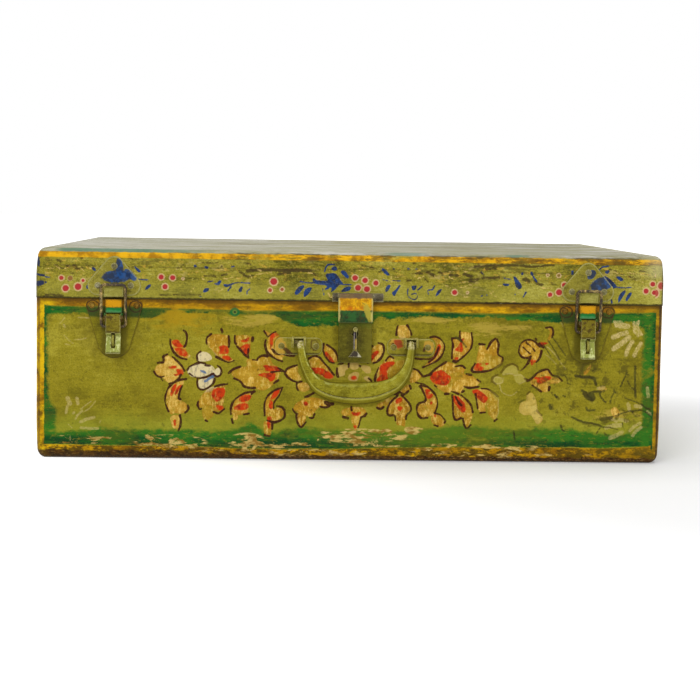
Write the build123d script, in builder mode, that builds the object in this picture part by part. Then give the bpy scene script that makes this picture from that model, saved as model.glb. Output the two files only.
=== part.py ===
from build123d import *
import os
from math import cos, radians, sin

os.makedirs("parts", exist_ok=True)

# A small tin trunk: sheet body and lid, two draw latches, a hasp with a lock, and a drop handle.
# Millimetres. X runs along the front, the front faces -Y, Z is up, the origin is under the middle.

# ---- driving dimensions: the box ----
width = 508.0
depth = 330.0
height = 171.0
lid_height = 40.5
sheet = 0.8
lid_gap = 0.4
rim_overlap = 8.0
corner_radius = 6.0
body_fold_margin = 2.0
lid_fold_margin = 0.6
seam_margin = 1.0
lap_width = 8.0
lap_gap = 0.05
rim_roll_radius = 2.2
rim_wire_radius = 1.35
rim_leg = 5.0
seat_gap = 0.3

# ---- driving dimensions: fittings ----
plate = 1.0
running_gap = 0.05
side_play = 0.2
rivet_shank_radius = 1.2
rivet_head_radius = 2.6
rivet_head_height = 1.3
rivet_tail_radius = 2.0
rivet_tail_height = 0.7

hinge_inset = 94.0
hinge_length = 50.0
hinge_leaf_height = 20.0
hinge_pin_radius = 1.5
hinge_knuckle_radius = 2.5
hinge_skirt_gap = 0.5
hinge_rivet_pitch = 32.0
hinge_rivet_drop = 12.0

latch_inset = 62.5
catch_rivet_spread = 26.4
catch_lower_rivet_rise = 10.8
catch_upper_rivet_rise = 26.4
catch_lobe_radius = 8.0
hook_width = 15.2
hook_height = 9.0
hook_reach = 4.4
hook_rise = 2.0
base_rivet_spread = 36.0
base_rivet_drop = 5.3
base_lobe_radius = 4.6
base_toe_radius = 13.5
base_toe_drop = 34.5
boss_width = 13.2
boss_reach = 4.4
fulcrum_drop = 14.5
fulcrum_reach = 5.2
fulcrum_pin_radius = 1.2
ear_radius = 3.4
ear_thickness = 1.2
lever_width = 11.6
lever_sheet = 1.2
lever_crown_radius = 2.8
lever_body_length = 13.0
lever_waist_drop = 15.2
lever_length = 29.0
lever_waist_reach = 4.6
lever_tip_reach = 8.4
lever_slot_clearance = 1.2
staple_wire_radius = 1.0
staple_top_drop = 14.6
staple_height = 8.0
staple_reach = 9.6
bail_wire_radius = 1.2
bail_outer_width = 21.9
bail_pivot_drop = 7.5
bail_pivot_inset = 0.9
bail_bar_rise = 26.2
bail_hook_gap = 0.8
bail_corner_radius = 3.0

lock_offset = 2.7
lock_width = 27.0
lock_height = 48.7
lock_depth = 5.2
lock_sheet = 1.0
lock_tab_length = 4.0
lock_tab_bend = 3.0
lock_tab_margin = 9.0
lug_thickness = 2.4
lug_depth = 3.9
lug_height = 6.4
lug_rise = 3.6
lug_slot_gap = 0.5
lug_slot_drop = 1.0
bolt_length = 10.0
bolt_height = 5.0
bolt_depth = 2.8
bolt_nose_length = 6.5
bolt_nose_height = 2.0
bolt_nose_depth = 1.3
bolt_eye_gap = 0.3
bolt_rest_gap = 0.6
spring_thickness = 0.4
keyhole_radius = 2.6
keyhole_slot_width = 3.4
keyhole_slot_drop = 14.4
keyhole_drop = 25.8
key_post_radius = 1.0
cover_pivot_rise = 3.9
cover_bar_width = 2.4
cover_bar_length = 18.0
cover_foot_width = 10.6
cover_foot_height = 5.6
cover_sheet = 0.8
cover_pivot_radius = 0.9
cover_head_radius = 1.8
cover_gap = 0.1

hasp_width = 28.0
hasp_length = 21.6
hasp_sheet = 1.2
hasp_knuckle_radius = 1.9
hasp_pin_radius = 0.9
hasp_axis_rise = 5.1
hasp_axis_reach = 3.4
hasp_right_knuckle = 8.2
hasp_left_knuckle = 4.6
hasp_leaf_height = 7.0
hasp_case_gap = 0.25

handle_pivot_spacing = 91.0
handle_axis_height = 97.6
handle_pin_radius = 1.4
handle_knuckle_radius = 2.7
handle_leg_width = 6.6
handle_leg_length = 18.0
handle_drop = 50.0
handle_grip_height = 17.0
handle_edge_flat = 0.5
bracket_width = 38.3
bracket_height = 13.8
bracket_corner = 5.0
bracket_rivet_spread = 28.0
bracket_hood_gap = 0.7
bracket_cheek = 1.4
bracket_leg_play = 0.7
bracket_hood_angle = 65.0

# ---- derived planes of the box ----
half_width = width / 2
half_depth = depth / 2
lid_bottom = height - lid_height
rim_top = lid_bottom + rim_overlap
wall_top = rim_top - 2 * rim_roll_radius
lid_growth = lid_gap + sheet
front_y = -half_depth
lid_front_y = -half_depth - lid_growth
back_y = half_depth
lid_back_y = half_depth + lid_growth
seam_x = half_width - corner_radius - seam_margin


def block(x, y, z, mode=Mode.ADD):
    """Box between two values on each axis, in the part that is being built."""
    middle = ((x[0] + x[1]) / 2, (y[0] + y[1]) / 2, (z[0] + z[1]) / 2)
    with Locations(middle):
        Box(x[1] - x[0], y[1] - y[0], z[1] - z[0], mode=mode)


def rod_x(x, y, z, radius, mode=Mode.ADD):
    """Round bar along X between the two x values, its axis at y and z."""
    with BuildSketch(Plane.YZ.offset(x[0])) as end:
        with Locations((y, z)):
            Circle(radius)
    extrude(end.sketch, amount=x[1] - x[0], mode=mode)


def tub(grow, low, high, corner, fold, closed_below):
    """Solid block with rounded ends and folds, open on one flat side; grow is its margin round the body."""
    half_x = half_width + grow
    half_y = half_depth + grow
    closed_side = 0 if closed_below else -1
    open_level = high if closed_below else low
    with BuildPart() as solid:
        with BuildSketch(Plane.YZ.offset(-half_x)) as section:
            with Locations((0, (low + high) / 2)):
                Rectangle(2 * half_y, high - low)
            fillet(section.vertices().group_by(Axis.Y)[closed_side], fold)
        extrude(amount=2 * half_x)
        for side in (0, -1):
            rim = solid.faces().sort_by(Axis.X)[side].edges()
            fillet([edge for edge in rim if abs(edge.center().Z - open_level) > sheet / 4], corner)
    return solid.part


def tub_layers(grow, low, high, corner, fold, closed_below, depths):
    """One tub for each depth below the outer surface, all sharing the open side."""
    layers = []
    for inset in depths:
        bottom = low + inset if closed_below else low
        top = high if closed_below else high - inset
        layers.append(tub(grow - inset, bottom, top, corner - inset, fold - inset, closed_below))
    return layers


lap_depths = (0, sheet, sheet + lap_gap, 2 * sheet + lap_gap)
body_fold = corner_radius + body_fold_margin
lid_corner = corner_radius + lid_growth
lid_fold = lid_corner + lid_fold_margin
body_layers = tub_layers(0, 0, wall_top, corner_radius, body_fold, True, lap_depths)
lid_layers = tub_layers(lid_growth, lid_bottom, height, lid_corner, lid_fold, False, lap_depths)

# ---- rivets ----
dome_radius = (rivet_head_radius**2 + rivet_head_height**2) / (2 * rivet_head_height)
with BuildPart() as rivet_blank:
    with BuildSketch(Plane.XZ):
        with BuildLine():
            Line((0, 0), (rivet_head_radius, 0))
            RadiusArc((rivet_head_radius, 0), (0, rivet_head_height), -dome_radius)
            Line((0, rivet_head_height), (0, 0))
        make_face()
    revolve(axis=Axis.Z)
rivet_head = rivet_blank.part


def rivet_set(name, points, outside_y, inside_y):
    """Writes one group of equal rivets along Y, with domed heads at outside_y and flat tails at inside_y."""
    outward = 1 if outside_y > inside_y else -1
    tail_y = inside_y - outward * rivet_tail_height
    head_turn = (-90 * outward, 0, 0)
    with BuildPart() as rivets:
        for x, z in points:
            with Locations(Location((x, outside_y, z), head_turn)):
                add(rivet_head)
            for radius, far_y in ((rivet_shank_radius, outside_y), (rivet_tail_radius, inside_y)):
                with BuildSketch(Plane.XZ.offset(-tail_y)):
                    with Locations((x, z)):
                        Circle(radius)
                extrude(amount=tail_y - far_y)
    finish(name, rivets)


def rivet_holes(points, y_low, y_high):
    """Clearance holes along Y for the rivets at the given points."""
    with BuildSketch(Plane.XZ.offset(-y_high)) as holes:
        with Locations(*points):
            Circle(rivet_shank_radius + running_gap)
    extrude(holes.sketch, amount=y_high - y_low, mode=Mode.SUBTRACT)


def finish(name, builder):
    """Labels a finished piece and writes its STEP file."""
    builder.part.label = name
    export_step(builder.part, f"parts/{name}.step")


# ---- places of the fittings ----
latch_offset = width / 2 - latch_inset
hinge_offset = width / 2 - hinge_inset
latch_sides = (("left", -latch_offset), ("right", latch_offset))
hinge_sides = (("left", -hinge_offset), ("right", hinge_offset))
handle_sides = (("left", lock_offset - handle_pivot_spacing / 2), ("right", lock_offset + handle_pivot_spacing / 2))


def catch_points(x):
    """Rivets of a catch plate: two low, one high."""
    low_z = lid_bottom + catch_lower_rivet_rise
    high_z = lid_bottom + catch_upper_rivet_rise
    return [(x - catch_rivet_spread / 2, low_z), (x + catch_rivet_spread / 2, low_z), (x, high_z)]


def base_points(x):
    """Rivets of a latch base, one each side near its top."""
    rivet_z = lid_bottom - base_rivet_drop
    return [(x - base_rivet_spread / 2, rivet_z), (x + base_rivet_spread / 2, rivet_z)]


def bracket_points(x):
    """Rivets of a handle bracket, one each side of the leg."""
    return [(x - bracket_rivet_spread / 2, bracket_z), (x + bracket_rivet_spread / 2, bracket_z)]


def hinge_points(x, z):
    """Rivets of one hinge leaf."""
    return [(x - hinge_rivet_pitch / 2, z), (x + hinge_rivet_pitch / 2, z)]


bracket_z = handle_axis_height - bracket_height / 2 + handle_knuckle_radius + bracket_hood_gap
hinge_axis_y = lid_back_y + hinge_skirt_gap + hinge_knuckle_radius
hinge_axis_z = lid_bottom
lock_left = lock_offset - lock_width / 2
lock_right = lock_offset + lock_width / 2
lock_top = lid_bottom - seat_gap
lock_bottom = lock_top - lock_height
lock_face_y = front_y - lock_depth
lock_tab_levels = (lock_bottom + lock_tab_margin, lock_top - lock_tab_margin - lock_tab_length)
front_rivets = [point for side, x in latch_sides for point in base_points(x)]
front_rivets += [point for side, x in handle_sides for point in bracket_points(x)]
lid_front_rivets = [point for side, x in latch_sides for point in catch_points(x)]
body_hinge_rivets = [point for side, x in hinge_sides for point in hinge_points(x, hinge_axis_z - hinge_rivet_drop)]
lid_hinge_rivets = [point for side, x in hinge_sides for point in hinge_points(x, hinge_axis_z + hinge_rivet_drop)]


def lock_tab_cuts(grow, y_low, y_high, mode):
    """The lock case's clinched tabs, or their slots in the wall when grown."""
    for z in lock_tab_levels:
        for x_low in (lock_left, lock_right - lock_sheet):
            block(
                (x_low - grow, x_low + lock_sheet + grow),
                (y_low, y_high),
                (z - grow, z + lock_tab_length + grow),
                mode,
            )


# ---- body: one sheet folded into front, bottom and back, and two turned-edge ends ----
with BuildPart() as body_wrap:
    add(body_layers[0])
    add(body_layers[1], mode=Mode.SUBTRACT)
    block((-seam_x, seam_x), (-depth, depth), (-height, height), Mode.INTERSECT)
    rivet_holes(front_rivets, front_y - sheet, front_y + 2 * sheet)
    rivet_holes(body_hinge_rivets, back_y - 2 * sheet, back_y + sheet)
    lock_tab_cuts(running_gap, front_y - sheet, front_y + 2 * sheet, Mode.SUBTRACT)
finish("body_wrap", body_wrap)


def end_panel(name, layers, side, lap_low, lap_high):
    """Pressed end: its turned edge butts the folded sheet, and a joggled flange laps inside it."""
    flange_x = seam_x - lap_width
    joggle_x = seam_x + seam_margin
    far_x = half_width + lid_growth + sheet
    with BuildPart() as lap:
        add(layers[2])
        add(layers[3], mode=Mode.SUBTRACT)
        block((side * flange_x, side * joggle_x)[::side], (-depth, depth), (lap_low, lap_high), Mode.INTERSECT)
    with BuildPart() as joggle:
        add(layers[1])
        add(layers[3], mode=Mode.SUBTRACT)
        block((side * seam_x, side * joggle_x)[::side], (-depth, depth), (lap_low, lap_high), Mode.INTERSECT)
    with BuildPart() as end:
        add(layers[0])
        add(layers[1], mode=Mode.SUBTRACT)
        block((side * seam_x, side * far_x)[::side], (-depth, depth), (-height, 2 * height), Mode.INTERSECT)
        add(lap.part)
        add(joggle.part)
    finish(name, end)


body_lap_top = wall_top - rim_leg - seat_gap
lid_lap_bottom = rim_top + seat_gap + sheet
for side_name, side in (("left", -1), ("right", 1)):
    end_panel(f"body_end_{side_name}", body_layers, side, -sheet, body_lap_top)
    end_panel(f"lid_end_{side_name}", lid_layers, side, lid_lap_bottom, height + sheet)

# ---- body rim: a rolled strip closed over a wire, standing on the walls' top edge ----
rim_inset = rim_roll_radius
rim_x = half_width - rim_inset
rim_y = half_depth - rim_inset
rim_bend = corner_radius - rim_inset
rim_z = wall_top + rim_roll_radius
with BuildLine(Plane.XY.offset(rim_z)) as rim_line:
    Line((0, -rim_y), (rim_x - rim_bend, -rim_y))
    RadiusArc((rim_x - rim_bend, -rim_y), (rim_x, -rim_y + rim_bend), -rim_bend)
    Line((rim_x, -rim_y + rim_bend), (rim_x, rim_y - rim_bend))
    RadiusArc((rim_x, rim_y - rim_bend), (rim_x - rim_bend, rim_y), -rim_bend)
    Line((rim_x - rim_bend, rim_y), (-rim_x + rim_bend, rim_y))
    RadiusArc((-rim_x + rim_bend, rim_y), (-rim_x, rim_y - rim_bend), -rim_bend)
    Line((-rim_x, rim_y - rim_bend), (-rim_x, -rim_y + rim_bend))
    RadiusArc((-rim_x, -rim_y + rim_bend), (-rim_x + rim_bend, -rim_y), -rim_bend)
    Line((-rim_x + rim_bend, -rim_y), (0, -rim_y))
rim_path = rim_line.wire()

with BuildPart() as body_rim:
    with BuildSketch(Plane.YZ):
        with Locations((-rim_y, rim_z)):
            Circle(rim_roll_radius)
        leg_y = front_y + sheet + lap_gap + sheet / 2
        with Locations((leg_y, wall_top - rim_leg / 2 + sheet / 4)):
            Rectangle(sheet, rim_leg + sheet / 2)
        with Locations((-rim_y, rim_z)):
            Circle(rim_wire_radius + lap_gap, mode=Mode.SUBTRACT)
    sweep(path=rim_path)
finish("body_rim", body_rim)

with BuildPart() as body_rim_wire:
    with BuildSketch(Plane.YZ):
        with Locations((-rim_y, rim_z)):
            Circle(rim_wire_radius)
    sweep(path=rim_path)
finish("body_rim_wire", body_rim_wire)

# ---- lid: one sheet folded into front, top and back ----
with BuildPart() as lid_wrap:
    add(lid_layers[0])
    add(lid_layers[1], mode=Mode.SUBTRACT)
    block((-seam_x, seam_x), (-depth, depth), (0, 2 * height), Mode.INTERSECT)
    rivet_holes(lid_front_rivets, lid_front_y - sheet, lid_front_y + 2 * sheet)
    rivet_holes(lid_hinge_rivets, lid_back_y - 2 * sheet, lid_back_y + sheet)
finish("lid_wrap", lid_wrap)

# ---- rear hinges ----
knuckle_length = (hinge_length - 2 * side_play) / 3
knuckle_wall = hinge_knuckle_radius - hinge_pin_radius - running_gap
leaf_start = hinge_knuckle_radius + seat_gap


def hinge_leaf(name, x, up, knuckles, wall_y, rivet_z):
    """Leaf against a wall at wall_y, above the pin if up is 1 or below if -1, with its own knuckles."""
    near_z = hinge_axis_z + up * leaf_start
    far_z = hinge_axis_z + up * (leaf_start + hinge_leaf_height)
    web_low = hinge_axis_z + up * (hinge_knuckle_radius - knuckle_wall)
    web_high = hinge_axis_z + up * hinge_knuckle_radius
    with BuildPart() as leaf:
        block((x - hinge_length / 2, x + hinge_length / 2), (wall_y, wall_y + plate), sorted((near_z, far_z)))
        for low_x, high_x in knuckles:
            block((x + low_x, x + high_x), (wall_y, hinge_axis_y), sorted((web_low, web_high)))
            block((x + low_x, x + high_x), (wall_y, wall_y + plate), sorted((web_low, near_z)))
            rod_x((x + low_x, x + high_x), hinge_axis_y, hinge_axis_z, hinge_knuckle_radius)
            rod_x((x + low_x, x + high_x), hinge_axis_y, hinge_axis_z, hinge_pin_radius + running_gap, Mode.SUBTRACT)
        rivet_holes(hinge_points(x, rivet_z), wall_y - sheet, wall_y + 2 * plate)
    finish(name, leaf)


outer_knuckles = (
    (-hinge_length / 2, -knuckle_length / 2 - side_play),
    (knuckle_length / 2 + side_play, hinge_length / 2),
)
inner_knuckle = ((-knuckle_length / 2, knuckle_length / 2),)
for side_name, x in hinge_sides:
    hinge_leaf(f"hinge_{side_name}_body_leaf", x, -1, outer_knuckles, back_y, hinge_axis_z - hinge_rivet_drop)
    hinge_leaf(f"hinge_{side_name}_lid_leaf", x, 1, inner_knuckle, lid_back_y, hinge_axis_z + hinge_rivet_drop)
    with BuildPart() as hinge_pin:
        reach = hinge_length / 2 + side_play
        rod_x((x - reach, x + reach), hinge_axis_y, hinge_axis_z, hinge_pin_radius)
        for low_x, high_x in ((x - reach - plate, x - reach), (x + reach, x + reach + plate)):
            rod_x((low_x, high_x), hinge_axis_y, hinge_axis_z, hinge_knuckle_radius)
    finish(f"hinge_{side_name}_pin", hinge_pin)
rivet_set("hinge_body_rivets", body_hinge_rivets, back_y + plate, back_y - sheet)
rivet_set("hinge_lid_rivets", lid_hinge_rivets, lid_back_y + plate, lid_back_y - sheet)

# ---- draw latches ----
fulcrum_y = front_y - plate - fulcrum_reach
fulcrum_z = lid_bottom - fulcrum_drop
lever_half = lever_width / 2
ear_inner = lever_half + side_play
ear_outer = ear_inner + ear_thickness
boss_bottom = fulcrum_z + lever_crown_radius + 2 * seat_gap
boss_top = lid_bottom - seat_gap
bail_half = bail_outer_width / 2 - bail_wire_radius
bail_pivot_y = fulcrum_y + bail_pivot_inset
bail_pivot_z = fulcrum_z - bail_pivot_drop
bail_bar_z = fulcrum_z + bail_bar_rise
hook_lip_y = lid_front_y - plate - hook_reach
bail_bar_y = hook_lip_y - bail_hook_gap - bail_wire_radius
slot_top = fulcrum_z - staple_top_drop + staple_wire_radius + lever_slot_clearance
slot_bottom = fulcrum_z - staple_top_drop - staple_height - staple_wire_radius - lever_slot_clearance
slot_half = staple_wire_radius + lever_slot_clearance / 2


def catch_plate(side_name, x):
    """Three-cornered plate on the lid, rounded about its rivets."""
    with BuildPart() as catch:
        with BuildSketch(Plane.XZ.offset(-lid_front_y)):
            with Locations(*catch_points(x)):
                Circle(catch_lobe_radius)
            make_hull()
        extrude(amount=plate)
        rivet_holes(catch_points(x), lid_front_y - 2 * plate, lid_front_y + plate)
    finish(f"latch_{side_name}_catch", catch)


def catch_hook(side_name, x):
    """Bent strip on the catch plate: a foot, a floor that stands out, and an upturned lip."""
    plate_y = lid_front_y - plate
    hook_bottom = lid_bottom + hook_rise
    hook_x = (x - hook_width / 2, x + hook_width / 2)
    with BuildPart() as hook:
        block(hook_x, (plate_y - lever_sheet, plate_y), (hook_bottom, hook_bottom + hook_height / 2))
        block(hook_x, (hook_lip_y, plate_y), (hook_bottom, hook_bottom + lever_sheet))
        block(hook_x, (hook_lip_y, hook_lip_y + lever_sheet), (hook_bottom, hook_bottom + hook_height))
        front_edges = hook.edges().filter_by(Axis.X).group_by(Axis.Y)[0]
        fillet(front_edges, lever_sheet / 2 - running_gap)
    finish(f"latch_{side_name}_hook", hook)


def latch_base(side_name, x):
    """Shield-shaped plate with a raised boss above the lever and two ears for the fulcrum pin."""
    plate_y = front_y - plate
    toe = (x, lid_bottom - base_toe_drop)
    boss_x = (x - boss_width / 2, x + boss_width / 2)
    hollow_x = (boss_x[0] + plate, boss_x[1] - plate)
    hollow_z = (boss_bottom + plate, boss_top - plate)
    with BuildPart() as base:
        with BuildSketch(Plane.XZ.offset(-front_y)):
            with Locations(*base_points(x)):
                Circle(base_lobe_radius)
            with Locations(toe):
                Circle(base_toe_radius)
            make_hull()
        extrude(amount=plate)
        block(boss_x, (plate_y - boss_reach + plate, plate_y), (boss_bottom, boss_top))
        block(hollow_x, (plate_y - boss_reach + 2 * plate, front_y), hollow_z, Mode.SUBTRACT)
        for low_x, high_x in ((x - ear_outer, x - ear_inner), (x + ear_inner, x + ear_outer)):
            rod_x((low_x, high_x), fulcrum_y, fulcrum_z, ear_radius)
            block((low_x, high_x), (fulcrum_y, front_y), (fulcrum_z - ear_radius, fulcrum_z + ear_radius))
            rod_x((low_x, high_x), fulcrum_y, fulcrum_z, fulcrum_pin_radius + running_gap, Mode.SUBTRACT)
        rivet_holes(base_points(x), front_y - 2 * plate, front_y + plate)
        staple_z = (fulcrum_z - staple_top_drop, fulcrum_z - staple_top_drop - staple_height)
        with BuildSketch(Plane.XZ.offset(-front_y)):
            with Locations(*((x, z) for z in staple_z)):
                Circle(staple_wire_radius + running_gap)
        extrude(amount=plate, mode=Mode.SUBTRACT)
    finish(f"latch_{side_name}_base", base)


def latch_staple(side_name, x):
    """Wire loop that stands out of the base through the lever's slot, for a padlock."""
    top_z = fulcrum_z - staple_top_drop
    bottom_z = top_z - staple_height
    bend = staple_height / 2
    bend_y = front_y - staple_reach + bend
    with BuildPart() as staple:
        with BuildLine(Plane.YZ.offset(x)) as path:
            Line((front_y, top_z), (bend_y, top_z))
            ThreePointArc((bend_y, top_z), (bend_y - bend, (top_z + bottom_z) / 2), (bend_y, bottom_z))
            Line((bend_y, bottom_z), (front_y, bottom_z))
        with BuildSketch(Plane.XZ.offset(-front_y)):
            with Locations((x, top_z)):
                Circle(staple_wire_radius)
        sweep(path=path.wire())
    finish(f"latch_{side_name}_staple", staple)


def latch_pin(side_name, x):
    """Fulcrum pin with two flat heads outside the ears."""
    with BuildPart() as pin:
        rod_x((x - ear_outer, x + ear_outer), fulcrum_y, fulcrum_z, fulcrum_pin_radius)
        for low_x, high_x in ((x - ear_outer - side_play, x - ear_outer), (x + ear_outer, x + ear_outer + side_play)):
            rod_x((low_x, high_x), fulcrum_y, fulcrum_z, fulcrum_pin_radius + 2 * side_play)
    finish(f"latch_{side_name}_pin", pin)


def latch_lever(side_name, x):
    """Channel-shaped lever: crown round the pin, cheeks for the bail, a waist, and a flared slotted end."""
    crown_y = fulcrum_y - lever_crown_radius
    waist_y = front_y - plate - lever_waist_reach
    body_z = fulcrum_z - lever_body_length
    waist_z = fulcrum_z - lever_waist_drop
    tip_z = fulcrum_z - lever_length
    tip_y = front_y - plate - lever_tip_reach
    lever_x = (x - lever_half, x + lever_half)
    with BuildPart() as lever:
        with BuildSketch(Plane.YZ.offset(lever_x[0])):
            with BuildLine():
                Polyline(
                    (crown_y, fulcrum_z),
                    (crown_y, body_z),
                    (waist_y, waist_z),
                    (tip_y, tip_z),
                    (tip_y + lever_sheet, tip_z),
                    (waist_y + lever_sheet, waist_z + lever_sheet),
                    (crown_y + lever_sheet, body_z + lever_sheet),
                    (crown_y + lever_sheet, fulcrum_z),
                    close=True,
                )
            make_face()
            with Locations((fulcrum_y, fulcrum_z)):
                Circle(lever_crown_radius)
            cheek_y = (crown_y, fulcrum_y + lever_crown_radius)
            with Locations((sum(cheek_y) / 2, (fulcrum_z + body_z) / 2)):
                Rectangle(cheek_y[1] - cheek_y[0], fulcrum_z - body_z)
        extrude(amount=lever_width)
        channel_x = (lever_x[0] + lever_sheet, lever_x[1] - lever_sheet)
        block(channel_x, (crown_y + lever_sheet, front_y), (body_z, fulcrum_z - lever_crown_radius), Mode.SUBTRACT)
        rod_x(lever_x, fulcrum_y, fulcrum_z, fulcrum_pin_radius + running_gap, Mode.SUBTRACT)
        rod_x(lever_x, bail_pivot_y, bail_pivot_z, bail_wire_radius + running_gap, Mode.SUBTRACT)
        block((x - slot_half, x + slot_half), (tip_y - plate, front_y), (slot_bottom, slot_top), Mode.SUBTRACT)
    finish(f"latch_{side_name}_lever", lever)


def latch_bail(side_name, x):
    """Wire loop: two sides, a top bar that goes over the hook, and ends turned into the lever's cheeks."""
    lean = (bail_bar_y - bail_pivot_y) / (bail_bar_z - bail_pivot_z)
    loop_plane = Plane(
        origin=(x, bail_pivot_y, bail_pivot_z),
        x_dir=(1, 0, 0),
        z_dir=(0, -1, lean),
    )
    reach = ((bail_bar_y - bail_pivot_y) ** 2 + (bail_bar_z - bail_pivot_z) ** 2) ** 0.5
    inner_end = lever_half - lever_sheet
    with BuildPart() as bail:
        with BuildLine(loop_plane) as path:
            FilletPolyline(
                (-inner_end, 0),
                (-bail_half, 0),
                (-bail_half, reach),
                (bail_half, reach),
                (bail_half, 0),
                (inner_end, 0),
                radius=bail_corner_radius,
            )
        with BuildSketch(Plane.YZ.offset(x - inner_end)):
            with Locations((bail_pivot_y, bail_pivot_z)):
                Circle(bail_wire_radius)
        sweep(path=path.wire())
    finish(f"latch_{side_name}_bail", bail)


for side_name, x in latch_sides:
    catch_plate(side_name, x)
    catch_hook(side_name, x)
    latch_base(side_name, x)
    latch_staple(side_name, x)
    latch_pin(side_name, x)
    latch_lever(side_name, x)
    latch_bail(side_name, x)
rivet_set("catch_rivets", lid_front_rivets, lid_front_y - plate, lid_front_y + sheet)
base_rivets = [point for side, x in latch_sides for point in base_points(x)]
rivet_set("latch_base_rivets", base_rivets, front_y - plate, front_y + sheet)

# ---- lock ----
lug_x = (lock_offset - lug_thickness / 2, lock_offset + lug_thickness / 2)
strap_back_y = lock_face_y - hasp_case_gap
hasp_axis_y = lid_front_y - hasp_axis_reach
hasp_axis_z = lid_bottom + hasp_axis_rise
strap_bottom = hasp_axis_z - hasp_length
lug_bottom = strap_bottom + lug_rise
lug_y = (strap_back_y, strap_back_y + lug_depth)
eye_z = lug_bottom + lug_height / 2
keyhole_z = lid_bottom - keyhole_drop
cavity_front_y = lock_face_y + lock_sheet
bolt_y = (cavity_front_y + running_gap, cavity_front_y + running_gap + bolt_depth)
nose_y_middle = (lug_y[0] + lug_y[1] + lock_sheet) / 2
bolt_nose_x = lug_x[0] - bolt_rest_gap

with BuildPart() as lock_case:
    block((lock_left, lock_right), (lock_face_y, front_y), (lock_bottom, lock_top))
    fillet(lock_case.edges().filter_by(Axis.Z).group_by(Axis.Y)[0], lock_sheet)
    cavity_x = (lock_left + lock_sheet, lock_right - lock_sheet)
    block(cavity_x, (cavity_front_y, front_y), (lock_bottom + lock_sheet, lock_top - lock_sheet), Mode.SUBTRACT)
    slot_x = (lug_x[0] - lug_slot_gap, lug_x[1] + lug_slot_gap)
    block(slot_x, (lock_face_y, front_y), (lug_bottom - lug_slot_drop, lock_top), Mode.SUBTRACT)
    with BuildSketch(Plane.XZ.offset(-cavity_front_y)):
        with Locations((lock_offset, keyhole_z)):
            Circle(keyhole_radius)
        with Locations((lock_offset, keyhole_z - keyhole_slot_drop / 2)):
            Rectangle(keyhole_slot_width, keyhole_slot_drop)
    extrude(amount=lock_sheet, mode=Mode.SUBTRACT)
    rod_hole_z = keyhole_z + cover_pivot_rise
    with BuildSketch(Plane.XZ.offset(-cavity_front_y)):
        with Locations((lock_offset, rod_hole_z)):
            Circle(cover_pivot_radius + running_gap)
    extrude(amount=lock_sheet, mode=Mode.SUBTRACT)
    lock_tab_cuts(0, front_y, front_y + sheet, Mode.ADD)
    for z in lock_tab_levels:
        for x_low, x_high in (
            (lock_left, lock_left + lock_sheet + lock_tab_bend),
            (lock_right - lock_sheet - lock_tab_bend, lock_right),
        ):
            block((x_low, x_high), (front_y + sheet, front_y + 2 * sheet), (z, z + lock_tab_length))
finish("lock_case", lock_case)

with BuildPart() as lock_bolt:
    nose_z = (eye_z - bolt_nose_height / 2, eye_z + bolt_nose_height / 2)
    nose_y = (nose_y_middle - bolt_nose_depth / 2, nose_y_middle + bolt_nose_depth / 2)
    shoulder_x = bolt_nose_x - bolt_nose_length
    bolt_z = (eye_z - bolt_height / 2, eye_z + bolt_height / 2)
    block((bolt_nose_x - bolt_length, shoulder_x), bolt_y, bolt_z)
    block((shoulder_x, bolt_nose_x), nose_y, nose_z)
finish("lock_bolt", lock_bolt)

spring_z = eye_z - bolt_height / 2 - spring_thickness - running_gap
with BuildPart() as lock_spring:
    spring_x = (lock_left + lock_sheet, shoulder_x)
    block(spring_x, bolt_y, (spring_z, spring_z + spring_thickness))
    block((spring_x[0], spring_x[0] + spring_thickness), bolt_y, (spring_z - bolt_height, spring_z + spring_thickness))
finish("lock_spring", lock_spring)

with BuildPart() as lock_key_post:
    with BuildSketch(Plane.XZ.offset(-front_y)):
        with Locations((lock_offset, keyhole_z)):
            Circle(key_post_radius)
    extrude(amount=lock_depth - lock_sheet)
finish("lock_key_post", lock_key_post)

# ---- keyhole cover: a slender bar on a rivet, with a three-cornered foot ----
cover_pivot_z = keyhole_z + cover_pivot_rise
cover_back_y = lock_face_y - cover_gap
cover_bottom = cover_pivot_z - cover_bar_length
with BuildPart() as keyhole_cover:
    with BuildSketch(Plane.XZ.offset(-cover_back_y)):
        with Locations((lock_offset, cover_pivot_z)):
            Circle(cover_head_radius)
        with Locations((lock_offset, (cover_pivot_z + cover_bottom) / 2)):
            Rectangle(cover_bar_width, cover_pivot_z - cover_bottom)
        with BuildLine():
            Polyline(
                (lock_offset - cover_bar_width / 2, cover_bottom + cover_bar_width / 2),
                (lock_offset + cover_bar_width / 2, cover_bottom + cover_bar_width / 2),
                (lock_offset + cover_foot_width / 2, cover_bottom - cover_foot_height + cover_bar_width / 2),
                (lock_offset - cover_foot_width / 2, cover_bottom - cover_foot_height + cover_bar_width / 2),
                close=True,
            )
        make_face()
        with Locations((lock_offset, cover_pivot_z)):
            Circle(cover_pivot_radius + running_gap, mode=Mode.SUBTRACT)
    extrude(amount=cover_sheet)
finish("keyhole_cover", keyhole_cover)

with BuildPart() as keyhole_rivet:
    head_y = cover_back_y - cover_sheet - cover_gap
    with BuildSketch(Plane.XZ.offset(-cavity_front_y)):
        with Locations((lock_offset, cover_pivot_z)):
            Circle(cover_pivot_radius)
    extrude(amount=cavity_front_y - head_y)
    with BuildSketch(Plane.XZ.offset(-head_y)):
        with Locations((lock_offset, cover_pivot_z)):
            Circle(cover_head_radius)
    extrude(amount=cover_sheet)
finish("keyhole_rivet", keyhole_rivet)

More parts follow.
